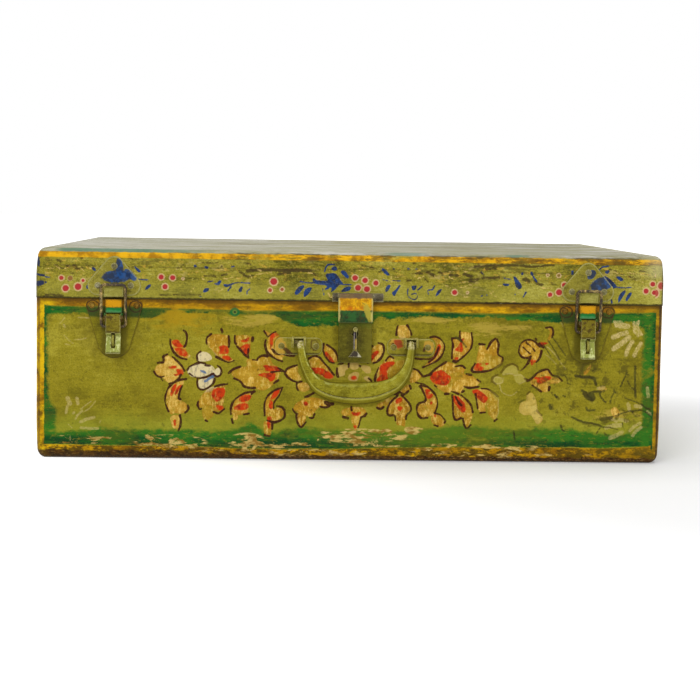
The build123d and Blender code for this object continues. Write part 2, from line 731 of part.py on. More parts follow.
# ---- hasp: leaf on the lid, pin, and strap with its lug ----
strap_x = (lock_offset - hasp_width / 2, lock_offset + hasp_width / 2)
left_knuckle_x = (strap_x[0] - side_play - hasp_left_knuckle, strap_x[0] - side_play)
right_knuckle_x = (strap_x[1] + side_play, strap_x[1] + side_play + hasp_right_knuckle)
hasp_bore = hasp_pin_radius + running_gap

with BuildPart() as hasp_leaf:
    leaf_y = (lid_front_y - plate, lid_front_y)
    leaf_z = (lid_bottom + seat_gap, lid_bottom + seat_gap + hasp_leaf_height)
    block((left_knuckle_x[0], right_knuckle_x[1]), leaf_y, leaf_z)
    for knuckle_x in (left_knuckle_x, right_knuckle_x):
        block(knuckle_x, (hasp_axis_y, lid_front_y), (hasp_axis_z - hasp_knuckle_radius, hasp_axis_z))
        rod_x(knuckle_x, hasp_axis_y, hasp_axis_z, hasp_knuckle_radius)
        rod_x(knuckle_x, hasp_axis_y, hasp_axis_z, hasp_bore, Mode.SUBTRACT)
finish("hasp_leaf", hasp_leaf)

with BuildPart() as hasp_pin:
    rod_x((left_knuckle_x[0], right_knuckle_x[1]), hasp_axis_y, hasp_axis_z, hasp_pin_radius)
finish("hasp_pin", hasp_pin)

with BuildPart() as hasp_strap:
    block(strap_x, (strap_back_y - hasp_sheet, strap_back_y), (strap_bottom, hasp_axis_z))
    fillet(hasp_strap.edges().filter_by(Axis.Y).group_by(Axis.Z)[0], hasp_sheet)
    rod_x(strap_x, hasp_axis_y, hasp_axis_z, hasp_knuckle_radius)
    rod_x(strap_x, hasp_axis_y, hasp_axis_z, hasp_bore, Mode.SUBTRACT)
    block(lug_x, lug_y, (lug_bottom, lug_bottom + lug_height))
    eye_y = (nose_y[0] - bolt_eye_gap, nose_y[1] + bolt_eye_gap)
    block(lug_x, eye_y, (nose_z[0] - bolt_eye_gap, nose_z[1] + bolt_eye_gap), Mode.SUBTRACT)
finish("hasp_strap", hasp_strap)

# ---- drop handle ----
handle_axis_y = front_y - plate - handle_knuckle_radius - bracket_hood_gap
hood_inner = handle_knuckle_radius + bracket_hood_gap
hood_outer = hood_inner + plate
cheek_inner = handle_leg_width / 2 + bracket_leg_play
cheek_outer = cheek_inner + bracket_cheek


def handle_bracket(side_name, x):
    """Riveted plate with two cheeks that hold the handle's pin, joined by a hood over the knuckle."""
    cheeks = ((x - cheek_outer, x - cheek_inner), (x + cheek_inner, x + cheek_outer))
    with BuildPart() as bracket:
        with BuildSketch(Plane.XZ.offset(-front_y)):
            with Locations((x, bracket_z)):
                RectangleRounded(bracket_width, bracket_height, bracket_corner)
        extrude(amount=plate)
        with BuildSketch(Plane.YZ.offset(x - cheek_outer)):
            with Locations((handle_axis_y, handle_axis_height)):
                Circle(hood_outer)
                Circle(hood_inner, mode=Mode.SUBTRACT)
            with BuildLine():
                reach = 2 * hood_outer
                angle = radians(bracket_hood_angle)
                Polyline(
                    (handle_axis_y, handle_axis_height),
                    (handle_axis_y - reach * cos(angle), handle_axis_height + reach * sin(angle)),
                    (handle_axis_y, handle_axis_height + reach),
                    (handle_axis_y + reach, handle_axis_height + reach),
                    (handle_axis_y + reach, handle_axis_height),
                    close=True,
                )
            make_face(mode=Mode.INTERSECT)
        extrude(amount=2 * cheek_outer)
        block((x - cheek_outer, x + cheek_outer), (front_y, front_y + 2 * hood_outer), (0, height), Mode.SUBTRACT)
        for low_x, high_x in cheeks:
            rod_x((low_x, high_x), handle_axis_y, handle_axis_height, hood_outer)
            cheek_z = (handle_axis_height - hood_outer, handle_axis_height + hood_outer)
            block((low_x, high_x), (handle_axis_y, front_y - plate), cheek_z)
            block((low_x, high_x), (front_y, front_y + 2 * hood_outer), cheek_z, Mode.SUBTRACT)
            rod_x((low_x, high_x), handle_axis_y, handle_axis_height, handle_pin_radius + running_gap, Mode.SUBTRACT)
        rivet_holes(bracket_points(x), front_y - 2 * plate, front_y + plate)
    finish(f"handle_bracket_{side_name}", bracket)


with BuildPart() as handle_pins:
    for side_name, x in handle_sides:
        rod_x((x - cheek_outer, x + cheek_outer), handle_axis_y, handle_axis_height, handle_pin_radius)
finish("handle_pins", handle_pins)

for side_name, x in handle_sides:
    handle_bracket(side_name, x)
bracket_rivets = [point for side, x in handle_sides for point in bracket_points(x)]
rivet_set("handle_rivets", bracket_rivets, front_y - plate, front_y + sheet)

leg_out = handle_pivot_spacing / 2 + handle_leg_width / 2
leg_in = handle_pivot_spacing / 2 - handle_leg_width / 2
bend_z = handle_axis_height - handle_leg_length
grip_bottom = handle_axis_height - handle_drop
grip_top = grip_bottom + handle_grip_height
handle_back = Plane.XZ.offset(-handle_axis_y - handle_knuckle_radius)
bend_centre = (lock_offset, bend_z)
with BuildPart() as handle:
    with BuildSketch(handle_back):
        with BuildLine():
            EllipticalCenterArc(bend_centre, leg_out, bend_z - grip_bottom, 180, arc_size=180)
            Line((lock_offset + leg_out, bend_z), (lock_offset + leg_out, handle_axis_height))
            Line((lock_offset + leg_out, handle_axis_height), (lock_offset + leg_in, handle_axis_height))
            Line((lock_offset + leg_in, handle_axis_height), (lock_offset + leg_in, bend_z))
            EllipticalCenterArc(bend_centre, leg_in, bend_z - grip_top, 180, arc_size=180)
            Line((lock_offset - leg_in, bend_z), (lock_offset - leg_in, handle_axis_height))
            Line((lock_offset - leg_in, handle_axis_height), (lock_offset - leg_out, handle_axis_height))
            Line((lock_offset - leg_out, handle_axis_height), (lock_offset - leg_out, bend_z))
        make_face()
    extrude(amount=2 * handle_knuckle_radius)
    faces_y = handle.faces().filter_by(Axis.Y)
    grip_edges = [edge for face in faces_y for edge in face.edges() if edge.center().Z < bend_z]
    fillet(grip_edges, handle_knuckle_radius - handle_edge_flat)
    for side_name, x in handle_sides:
        leg_x = (x - handle_leg_width / 2, x + handle_leg_width / 2)
        rod_x(leg_x, handle_axis_y, handle_axis_height, handle_knuckle_radius)
        rod_x(leg_x, handle_axis_y, handle_axis_height, handle_pin_radius + running_gap, Mode.SUBTRACT)
finish("handle", handle)
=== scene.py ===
"""A small tin trunk with folk flowers painted on it.

It holds the sheet-metal skins, the paints, the lights and the camera."""

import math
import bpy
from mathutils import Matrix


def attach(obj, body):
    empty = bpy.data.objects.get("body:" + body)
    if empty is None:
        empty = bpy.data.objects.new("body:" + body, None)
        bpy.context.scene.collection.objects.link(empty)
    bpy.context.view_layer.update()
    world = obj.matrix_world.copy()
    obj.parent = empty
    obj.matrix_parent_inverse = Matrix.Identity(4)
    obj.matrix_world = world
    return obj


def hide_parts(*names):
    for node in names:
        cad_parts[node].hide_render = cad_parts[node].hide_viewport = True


bl_info = {
    "name": "Painted tin trunk",
    "version": (1, 0, 0),
    "blender": (4, 5, 0),
    "location": "View3D > Sidebar > Tin trunk",
    "description": "Dresses the frame of a small painted tin trunk",
    "category": "Object",
}

import bpy
import numpy as np
from bpy.props import FloatProperty, FloatVectorProperty, PointerProperty
from mathutils import Matrix, Vector

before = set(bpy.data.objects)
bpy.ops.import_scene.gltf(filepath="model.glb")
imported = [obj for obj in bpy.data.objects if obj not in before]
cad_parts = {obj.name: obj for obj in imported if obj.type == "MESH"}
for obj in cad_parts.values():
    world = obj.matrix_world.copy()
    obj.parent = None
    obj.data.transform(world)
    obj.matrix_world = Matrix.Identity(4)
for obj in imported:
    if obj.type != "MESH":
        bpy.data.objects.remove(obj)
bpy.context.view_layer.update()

MM = 0.001

# ---------------------------------------------------------------- sheet sizes, in millimetres
SHEET = 0.8
SEAM_X = 247.0
BODY_HALF_LENGTH = 254.0
BODY_HALF_DEPTH = 165.0
BODY_WALL_TOP = 134.1
BODY_FOLD = 8.0
LID_HALF_LENGTH = 255.2
LID_HALF_DEPTH = 166.2
LID_FOOT = 130.5
LID_TOP = 171.0
LID_FOLD = 7.8

# Middles of the latches, left and right of the trunk's middle, and of the lock, all on the front.
LATCH_X = 191.5
LOCK_X = 2.7

# Flowers that have lost their colour, each as a middle and two half-widths: bleached, all but gone, fading.
PALE_FLOWER = ((-119.5, 73.0), (16.5, 19.0))
GHOST_FLOWER = ((128.0, 66.0), (17.0, 19.0))
FADED_FLOWER = ((147.0, 44.0), (14.0, 17.0))

# Grid spacings of the lid's front, across and up.
LID_CELL = 1.15
LID_ROW = 0.9

# How far the ends stand out from the seam: the body's draw in towards the floor, the lid's towards the top.
END_SWELL = 8.15
BODY_END_DRAW = 1.1
BODY_END_DRAW_HEIGHT = 40.0
LID_END_DRAW = 2.6
LID_END_DRAW_FROM = 145.0

# Points along the parts of a pressed end, and how many outer cells one inner cell of a folded sheet spans.
CORNER_POINTS = 9
END_COLUMNS = 76
END_ROWS = 36
INNER_ROW_SPAN = 9
INNER_COLUMN_SPAN = 12

# Dents fade out towards the seams with the ends, below the body's rim and above the lid's foot. The body's
# may stand out a little from the wall.
BODY_DENT_FADE = 9.0
BODY_RIM_STIFF = 6.0
BODY_RIM_FADE = 8.0
BODY_DENT_OUT = 0.25
LID_DENT_FADE = 7.0
LID_FOOT_STIFF = 9.0
LID_FOOT_FADE = 5.0

# The lid's wandering crease: its height, its depth and half-width, and the low ridge over it.
CREASE_Z = 153.0
CREASE_DEPTH = 0.55
CREASE_HALF = 2.4
RIDGE_HEIGHT = 0.12
RIDGE_ABOVE = 4.5
RIDGE_HALF = 2.6

# Notches reach this far round a line inside the lid's front fold, and the top sags by its slack.
NOTCH_Y = -161.0
NOTCH_Z = 168.0
NOTCH_REACH = 9.0
TOP_SLACK = 1.3
SLACK_FROM_FRONT = 60.0
SLACK_FROM_SEAM = 40.0

# The drop handle: its middle plane and its limits from front to back, half its thickness, the way from an eye
# to the grip, the way over which the grip's pressing starts, and the rounding of its ends.
HANDLE_Y = -169.4
HANDLE_FRONT_Y = -172.0
HANDLE_BACK_Y = -166.8
HANDLE_HALF_THICKNESS = 2.35
GRIP_FROM_EYE = 34.0
GRIP_START = 14.0
HANDLE_END_ROUNDING = 3.2
HANDLE_STEPS = 14
HANDLE_SIDES = 56
GROOVE_DEPTH = 0.75
GROOVE_ACROSS = 0.41
LIP_HEIGHT = 0.3
LIP_ACROSS = -0.74

# How far outside a painted shape its field of distances is still worked out.
REACH = 3.0

# ---------------------------------------------------------------- camera and floor, in metres and radians
CAMERA_PLACE = (-0.043646, -1.331777, 0.212869)
CAMERA_YAW = -0.03585
CAMERA_PITCH = 0.069153
CAMERA_ROLL = 0.015943
CAMERA_SENSOR = 36.0
CAMERA_SHIFT_UP = -1.0 / 14.0
CAMERA_RANGE = 60.0
FLOOR_REACH = 14.0
# The floor glows white from the inner to the outer distance about this middle, and keeps its shadows inside.
GLOW_MIDDLE = (0.36, -0.15)
GLOW_INNER = 0.25
GLOW_OUTER = 0.8
WHITE = (1.0, 1.0, 1.0, 1.0)
# Each lamp: its name, its place, what it is turned to, its width and height, and the setting with its power.
LAMPS = (
    ("key_light", (-0.9, -2.1, 1.5), (0.0, -0.1, 0.08), (1.6, 1.2), "key_power"),
    ("fill_light", (1.5, -1.9, 0.9), (0.0, -0.1, 0.08), (1.2, 1.0), "fill_power"),
    ("top_light", (0.0, 0.2, 2.3), (0.0, 0.0, 0.0), (1.8, 1.4), "top_power"),
)

# ---------------------------------------------------------------- dents, in millimetres

# Each row: middle across, middle up, half-width across, half-width up, height (negative is inwards).
BODY_FRONT_DENTS = (
    (-218.0, 60.0, 20.0, 26.0, -0.7),
    (-140.0, 40.0, 34.0, 20.0, -0.9),
    (-95.0, 88.0, 24.0, 18.0, -0.7),
    (-40.0, 26.0, 46.0, 10.0, -0.6),
    (70.0, 30.0, 40.0, 14.0, -0.8),
    (115.0, 80.0, 28.0, 22.0, -0.9),
    (150.0, 45.0, 22.0, 26.0, -0.6),
    (222.0, 58.0, 16.0, 24.0, -0.8),
    (-120.0, 62.0, 60.0, 5.0, 0.12),
    (130.0, 60.0, 52.0, 5.0, 0.12),
)
BODY_BACK_DENTS = (
    (-190.0, 50.0, 34.0, 30.0, -0.5),
    (-60.0, 70.0, 60.0, 30.0, -0.5),
    (90.0, 40.0, 44.0, 28.0, -0.55),
    (200.0, 80.0, 32.0, 30.0, -0.4),
)
# On the ends the dents are taken from how far the panel stands out, so their heights count inwards.
BODY_END_DENTS = (
    (-60.0, 60.0, 46.0, 26.0, 0.9),
    (70.0, 90.0, 40.0, 20.0, 0.7),
)
LID_FRONT_DENTS = (
    (-228.0, 150.0, 14.0, 7.0, -0.5),
    (-120.0, 147.0, 26.0, 6.0, -0.5),
    (-55.0, 157.0, 22.0, 4.0, -0.6),
    (40.0, 146.0, 30.0, 6.0, -0.6),
    (110.0, 156.0, 24.0, 4.0, -0.7),
    (160.0, 147.0, 18.0, 6.0, -0.5),
    (236.0, 152.0, 10.0, 7.0, -0.4),
)
LID_TOP_DENTS = (
    (-190.0, -110.0, 40.0, 26.0, -0.8),
    (-90.0, 60.0, 60.0, 46.0, -1.0),
    (20.0, -120.0, 44.0, 20.0, -0.9),
    (90.0, 20.0, 52.0, 60.0, -0.9),
    (170.0, -120.0, 38.0, 24.0, -0.7),
    (200.0, 90.0, 36.0, 40.0, -0.8),
)
# Each row: where along the folded edge, half-width, depth.
LID_EDGE_NOTCHES = (
    (16.0, 7.0, 2.6),
    (-70.0, 26.0, 0.8),
    (120.0, 34.0, 1.0),
    (-150.0, 18.0, 0.5),
)

# The two edges of the drop handle from its left eye to its right, in millimetres: across, up.
HANDLE_OUTER_EDGE = (
    (-43.7, 99.3), (-44.2, 94.9), (-43.1, 84.1), (-40.3, 75.1), (-36.3, 66.1), (-30.3, 57.7), (-20.6, 51.9),
    (-10.1, 48.8), (3.3, 47.6), (17.6, 49.0), (28.9, 52.8), (39.1, 58.9), (45.8, 67.2), (49.4, 76.3),
    (50.8, 85.3), (51.2, 95.2), (50.8, 99.8),
)
HANDLE_INNER_EDGE = (
    (-38.7, 99.4), (-38.1, 95.0), (-35.9, 84.4), (-32.2, 76.7), (-27.4, 70.7), (-21.0, 66.9), (-13.3, 65.2),
    (-5.2, 65.1), (3.3, 65.3), (11.9, 65.6), (20.8, 66.3), (30.1, 68.6), (36.6, 72.7), (41.5, 79.0),
    (44.1, 86.3), (45.3, 95.2), (45.5, 99.7),
)

# The emerald bands on the front wall, between the gilded border and the olive. Each row: across, lower edge,
# upper edge. The edges run straight between the rows.
UPPER_BAND = (
    (-250, 117, 124.5), (-230, 118, 124), (-200, 118, 123.5), (-162, 115, 123.5), (-152, 119.5, 123.5),
    (-146, 122.5, 123), (-143, 125, 122), (-140, 122.5, 123), (-132, 119.5, 123), (-103, 120.5, 122.5),
    (-93, 118, 122.5), (-84, 120, 122), (-64, 119.5, 122.5), (-54, 114, 122.5), (-45, 110, 122.5),
    (-12, 111, 123), (15, 111.5, 123), (20, 117.5, 123), (52, 118, 123), (62, 119.5, 123), (82, 117.5, 123),
    (91, 119, 122.5), (121, 119.5, 122.5), (130, 117, 122.5), (150, 117, 123.5), (169, 115, 124),
    (189, 118, 124.5), (209, 115.5, 123.5), (228, 117.5, 124.5), (238, 112, 124.5), (250, 108, 125),
)
LOWER_BAND = (
    (-250, 12, 24), (-237, 12, 21.5), (-224, 12, 23.5), (-198, 11.5, 25.5), (-159, 11.5, 24.5),
    (-146, 12, 25.5), (-119, 11, 23.5), (-93, 10, 25.5), (-80, 10, 32), (-67, 10, 22.5), (-54, 9.5, 25.5),
    (-35, 10.5, 27.5), (-15, 10, 26), (10, 11, 25.5), (36, 12, 24.5), (49, 12, 27), (75, 12.5, 28.5),
    (88, 13, 31.5), (101, 13, 31), (127, 13, 27.5), (140, 13, 27.5), (153, 13, 29.5), (179, 13.5, 29),
    (205, 13, 25), (231, 14, 25.5), (244, 15, 34), (250, 17, 40),
)

# Gilded petals and buds on the front wall: how much gilding is left, and the outline in half millimetres
# (across, up).
PETALS = (
    (0.45, "-291,195 -285,195 -279,193 -273,188 -268,184 -267,179 -263,173 -260,170 -265,166 -273,167 "
     "-281,172 -287,179 -291,185"),
    (0.7, "-303,167 -301,171 -296,170 -287,165 -279,158 -272,148 -270,143 -274,139 -278,136 -284,131 "
     "-291,125 -299,128 -304,133 -308,136 -314,138 -317,141 -318,146 -315,153 -310,156 -303,157 "
     "-302,161"),
    (0.95, "-249,167 -247,174 -240,177 -232,175 -227,170 -226,165 -232,162 -241,161 -248,162"),
    (1, "-265,144 -263,150 -256,155 -247,158 -237,157 -227,155 -221,149 -221,143 -230,140 -240,136 "
     "-249,135 -258,136 -263,140"),
    (0.85, "-220,148 -215,151 -211,146 -212,140 -217,138 -221,141"),
    (0.9, "-248,125 -246,131 -237,134 -227,136 -222,132 -225,125 -232,119 -241,116 -247,118"),
    (0.55, "-289,124 -280,129 -272,131 -271,124 -275,116 -278,107 -279,99 -273,96 -266,91 -265,84 "
     "-269,78 -276,75 -285,76 -291,74 -295,80 -298,90 -299,100 -298,110 -294,118"),
    (0.75, "-292,69 -286,73 -278,72 -276,64 -277,57 -280,51 -286,51 -290,57"),
    (0.38, "-234,191 -233,199 -228,204 -219,206 -208,205 -199,203 -199,193 -199,183 -200,175 -196,169 "
     "-191,163 -198,161 -208,165 -218,170 -225,179 -231,185"),
    (0.32, "-188,203 -178,205 -166,204 -161,201 -163,192 -165,183 -167,173 -169,168 -174,174 -180,180 "
     "-185,185 -188,194"),
    (0.5, "-247,91 -245,100 -239,109 -231,117 -220,121 -205,123 -204,113 -205,100 -207,91 -206,84 "
     "-214,80 -222,81 -227,89 -239,86 -245,87"),
    (0.22, "-240,86 -232,89 -223,82 -222,74 -228,67 -236,66 -240,73"),
    (0.55, "-194,79 -193,88 -188,97 -181,104 -172,109 -159,111 -163,102 -167,93 -166,85 -168,78 -177,75 "
     "-186,74 -192,75"),
    (0.4, "-191,73 -184,74 -183,68 -189,66"),
    (0.3, "-194,144 -186,152 -170,154 -170,163 -167,166 -158,165 -152,166 -149,170 -141,172 -132,169 "
     "-128,160 -121,154 -113,148 -116,141 -120,132 -130,121 -142,115 -152,117 -157,120 -167,119 "
     "-174,123 -179,129 -189,135"),
    (0.9, "-165,133 -159,134 -159,129 -162,129"),
    (0.45, "-136,194 -135,201 -131,207 -124,210 -119,206 -116,203 -121,200 -125,195 -125,187 -122,181 "
     "-116,176 -106,175 -94,177 -93,173 -106,172 -111,170 -112,165 -119,166 -128,172 -135,180 "
     "-137,187"),
    (0.55, "-142,213 -132,208 -135,203"),
    (0.7, "-120,191 -114,194 -110,190 -114,185 -118,186"),
    (0.4, "-112,120 -118,111 -122,101 -125,92 -125,84 -119,87 -112,86 -108,81 -110,74 -117,67 -127,66 "
     "-134,69 -138,77 -139,88 -137,100 -132,108 -124,115"),
    (0.35, "-140,64 -128,63 -128,54 -129,43 -135,40 -140,46"),
    (0.38, "-93,86 -89,94 -81,99 -70,104 -56,104 -48,101 -50,90 -56,84 -60,78 -66,72 -72,75 -72,69 "
     "-76,60 -81,56 -86,65 -87,75 -86,81 -91,82"),
    (0.7, "-87,123 -83,128 -75,129 -68,125 -67,118 -73,114 -80,114 -85,118"),
    (0.32, "-106,144 -99,153 -87,155 -86,145 -80,135 -85,132 -95,134 -103,137"),
    (0.42, "-68,166 -62,171 -55,170 -47,163 -40,155 -32,146 -29,138 -37,134 -46,138 -56,144 -65,151 "
     "-67,158"),
    (0.5, "-43,190 -38,190 -31,184 -25,177 -23,169 -24,163 -32,162 -38,166 -43,174 -46,181"),
    (0.92, "-22,150 -20,156 -12,159 -5,157 -5,152 -10,148 -10,142 -19,139 -21,144"),
    (0.9, "-4,156 -4,160 3,163 12,161 13,155 8,151 1,151"),
    (0.9, "16,157 23,158 31,155 32,146 25,145 21,148 17,152"),
    (0.9, "21,139 29,140 32,135 29,131 22,135"),
    (0.6, "-5,137 -2,143 7,147 13,145 12,137 9,132 -1,132"),
    (0.45, "33,184 40,191 49,192 51,184 50,174 44,166 36,163 29,164 30,172"),
    (0.38, "41,132 41,142 45,155 52,164 59,171 66,173 71,169 69,161 63,154 61,144 60,133 50,132"),
    (0.2, "63,153 71,164 88,167 88,154 83,143 74,138 64,136 62,143"),
    (0.36, "-15,80 -11,86 2,89 18,89 26,82 25,75 17,74 16,64 12,56 7,57 2,65 0,75 -9,74"),
    (0.4, "-51,99 -46,101 -35,97 -31,91 -38,89 -48,90"),
    (0.4, "61,81 63,91 70,101 78,108 87,104 94,95 97,86 92,80 90,75 90,65 89,58 83,60 76,61 75,70 75,76 "
     "67,78"),
    (0.4, "81,116 89,125 95,127 97,120 90,114 84,114"),
    (0.35, "42,91 47,97 54,98 53,91 47,88"),
    (0.3, "55,101 67,106 70,104 63,95 57,91"),
    (0.7, "75,220 79,224 89,223 95,214 96,208 92,203 79,203 75,210"),
    (0.5, "128,205 136,206 144,201 150,192 150,183 145,173 138,166 129,160 120,158 125,165 132,173 "
     "137,183 138,193 134,201"),
    (0.8, "125,193 128,197 132,193 132,187 127,187"),
    (0.55, "164,202 169,204 176,200 177,209 177,214 192,213 195,205 195,194 191,184 183,175 171,167 "
     "165,169 165,183 165,194"),
    (0.45, "209,192 217,192 221,185 227,198 235,205 239,198 239,188 239,177 230,175 223,178 222,169 "
     "215,164 205,164 205,174 207,184"),
    (0.2, "221,177 230,175 245,174 246,164 237,156 226,151 212,150 198,152 203,161 215,164"),
    (0.5, "129,140 133,148 143,157 155,165 165,163 173,160 182,157 186,154 184,146 195,144 206,137 "
     "211,134 205,126 195,123 186,125 183,118 178,114 166,117 160,114 151,116 142,122 136,127 "
     "131,133"),
    (0.22, "168,146 176,147 182,143 176,138 168,134 166,127 160,124 160,133 162,141"),
    (0.4, "98,145 102,153 109,150 116,142 114,139 106,132 96,131"),
    (0.55, "115,125 123,123 132,115 139,106 141,96 138,84 134,77 127,75 118,73 112,78 109,87 113,95 "
     "121,99 123,104 119,114 116,120"),
    (0.5, "132,74 137,79 144,79 152,70 154,62 147,58 138,61 133,66"),
    (0.5, "168,109 176,110 187,105 194,98 199,87 199,74 195,64 191,58 187,66 185,75 180,74 175,70 "
     "170,76 167,89"),
    (0.6, "200,116 210,121 223,121 229,118 229,111 224,101 220,93 221,85 212,83 208,91 207,101"),
    (0.25, "229,116 235,115 242,107 242,96 241,81 236,71 225,81 222,96 225,109"),
    (0.5, "275,185 276,195 284,201 294,201 303,196 309,186 309,177 306,170 297,167 292,172 282,173 "
     "277,178"),
    (0.3, "319,222 326,221 327,213 324,204 318,200 322,211 323,217"),
    (0.95, "247,146 252,155 263,161 271,157 273,148 270,145 257,148"),
    (0.8, "267,144 277,147 284,137 275,131 269,134"),
    (0.4, "233,135 236,142 243,141 249,135 243,129 236,130"),
    (0.55, "293,134 300,143 310,151 320,154 326,147 329,142 337,141 343,136 337,132 327,131 324,125 "
     "322,118 313,118 304,123 297,128"),
    (0.88, "278,99 287,103 288,112 296,116 302,108 305,97 307,87 315,75 313,68 306,64 301,71 295,79 "
     "284,79 276,86"),
    (0.85, "427,89 435,94 442,83 439,77 431,79"),
    (0.15, "405,125 414,128 420,123 411,119"),
    (0.5, "380,150 386,158 393,164 390,154 383,146"),
)

# Red shading inside the petals: outlines.
BLUSHES = (
    "-290,193 -281,195 -275,187 -272,185 -280,184 -286,186",
    "-285,182 -275,182 -269,178 -265,172 -270,169 -278,172 -283,177",
    "-295,152 -284,153 -284,150 -293,149",
    "-282,148 -273,146 -272,140 -277,139 -281,142",
    "-287,140 -280,139 -285,137",
    "-289,120 -283,123 -285,116 -288,108 -291,104 -292,110",
    "-281,118 -275,122 -279,113 -283,107 -285,108",
    "-286,65 -283,64 -284,56 -286,58",
    "-213,186 -203,187 -199,179 -200,175 -208,174 -215,175 -213,179",
    "-209,169 -199,170 -194,164 -199,163 -206,166",
    "-179,196 -171,199 -166,201 -167,195 -176,194",
    "-181,185 -166,190 -165,179 -170,173 -176,179",
    "-220,117 -206,117 -205,109 -210,100 -217,96 -223,102 -226,107",
    "-218,90 -208,88 -207,84 -214,83",
    "-180,103 -171,107 -161,106 -166,99 -175,96 -181,98",
    "-187,88 -178,93 -167,92 -167,85 -177,83 -188,84",
    "-139,152 -131,155 -121,154 -114,149 -119,146 -130,147 -138,147",
    "-151,141 -140,143 -125,144 -123,137 -129,130 -138,136 -145,138",
    "-143,155 -136,156 -131,154 -138,151",
    "-131,206 -124,209 -118,206 -124,203 -128,197 -128,189 -131,182 -132,192",
    "-120,183 -113,179 -102,177 -111,175 -118,179",
    "-120,189 -115,187 -113,184 -118,184",
    "-124,113 -115,117 -120,107 -126,102 -130,102",
    "-130,99 -127,95 -128,85 -132,86 -132,95",
    "-135,71 -129,72 -128,66 -133,65",
    "-135,63 -130,62 -131,54 -134,54",
    "-76,97 -70,96 -70,91 -75,91",
    "-65,152 -56,153 -45,151 -35,145 -29,138 -39,136 -49,142 -61,145",
    "-42,179 -36,175 -31,168 -28,163 -33,163 -38,167 -42,172",
    "0,139 7,140 9,136 2,135",
    "29,171 35,178 43,182 44,178 38,171 33,165 28,164",
    "47,156 58,163 70,164 68,159 61,154 58,142 60,133 42,132 47,142",
    "2,81 10,80 16,81 13,76 5,76",
    "6,58 10,58 9,52",
    "73,100 80,106 84,101 77,96",
    "77,91 84,90 82,85 78,86",
    "141,192 145,191 144,183 139,175 130,165 127,163 135,175",
    "179,202 183,204 180,195 181,183 169,185 175,192",
    "169,172 174,172 173,169 168,168",
    "203,162 213,163 209,159 216,156 214,152 202,152",
    "218,163 225,164 222,161",
    "129,139 135,147 147,151 156,146 162,140 161,134 155,127 142,128 133,133",
    "121,119 130,118 126,114 133,112 133,107 126,105",
    "130,100 133,99 132,95 130,96",
    "137,79 141,76 138,75",
    "167,109 175,108 184,100 187,93 187,83 181,84 174,93 169,101",
    "199,117 206,120 215,115 223,108 222,101 216,99 207,107",
    "305,198 313,199 320,198 311,194",
    "293,169 301,169 295,161",
    "299,141 310,142 324,143 326,139 319,135 308,130 304,135 307,137",
)

# Grey-blue remains of paint inside the pale flower: outlines.
PALE_PATCHES = (
    "-239,129 -235,132 -227,139 -221,142 -221,136 -228,132 -235,127",
    "-245,147 -237,146 -234,141 -241,143",
)

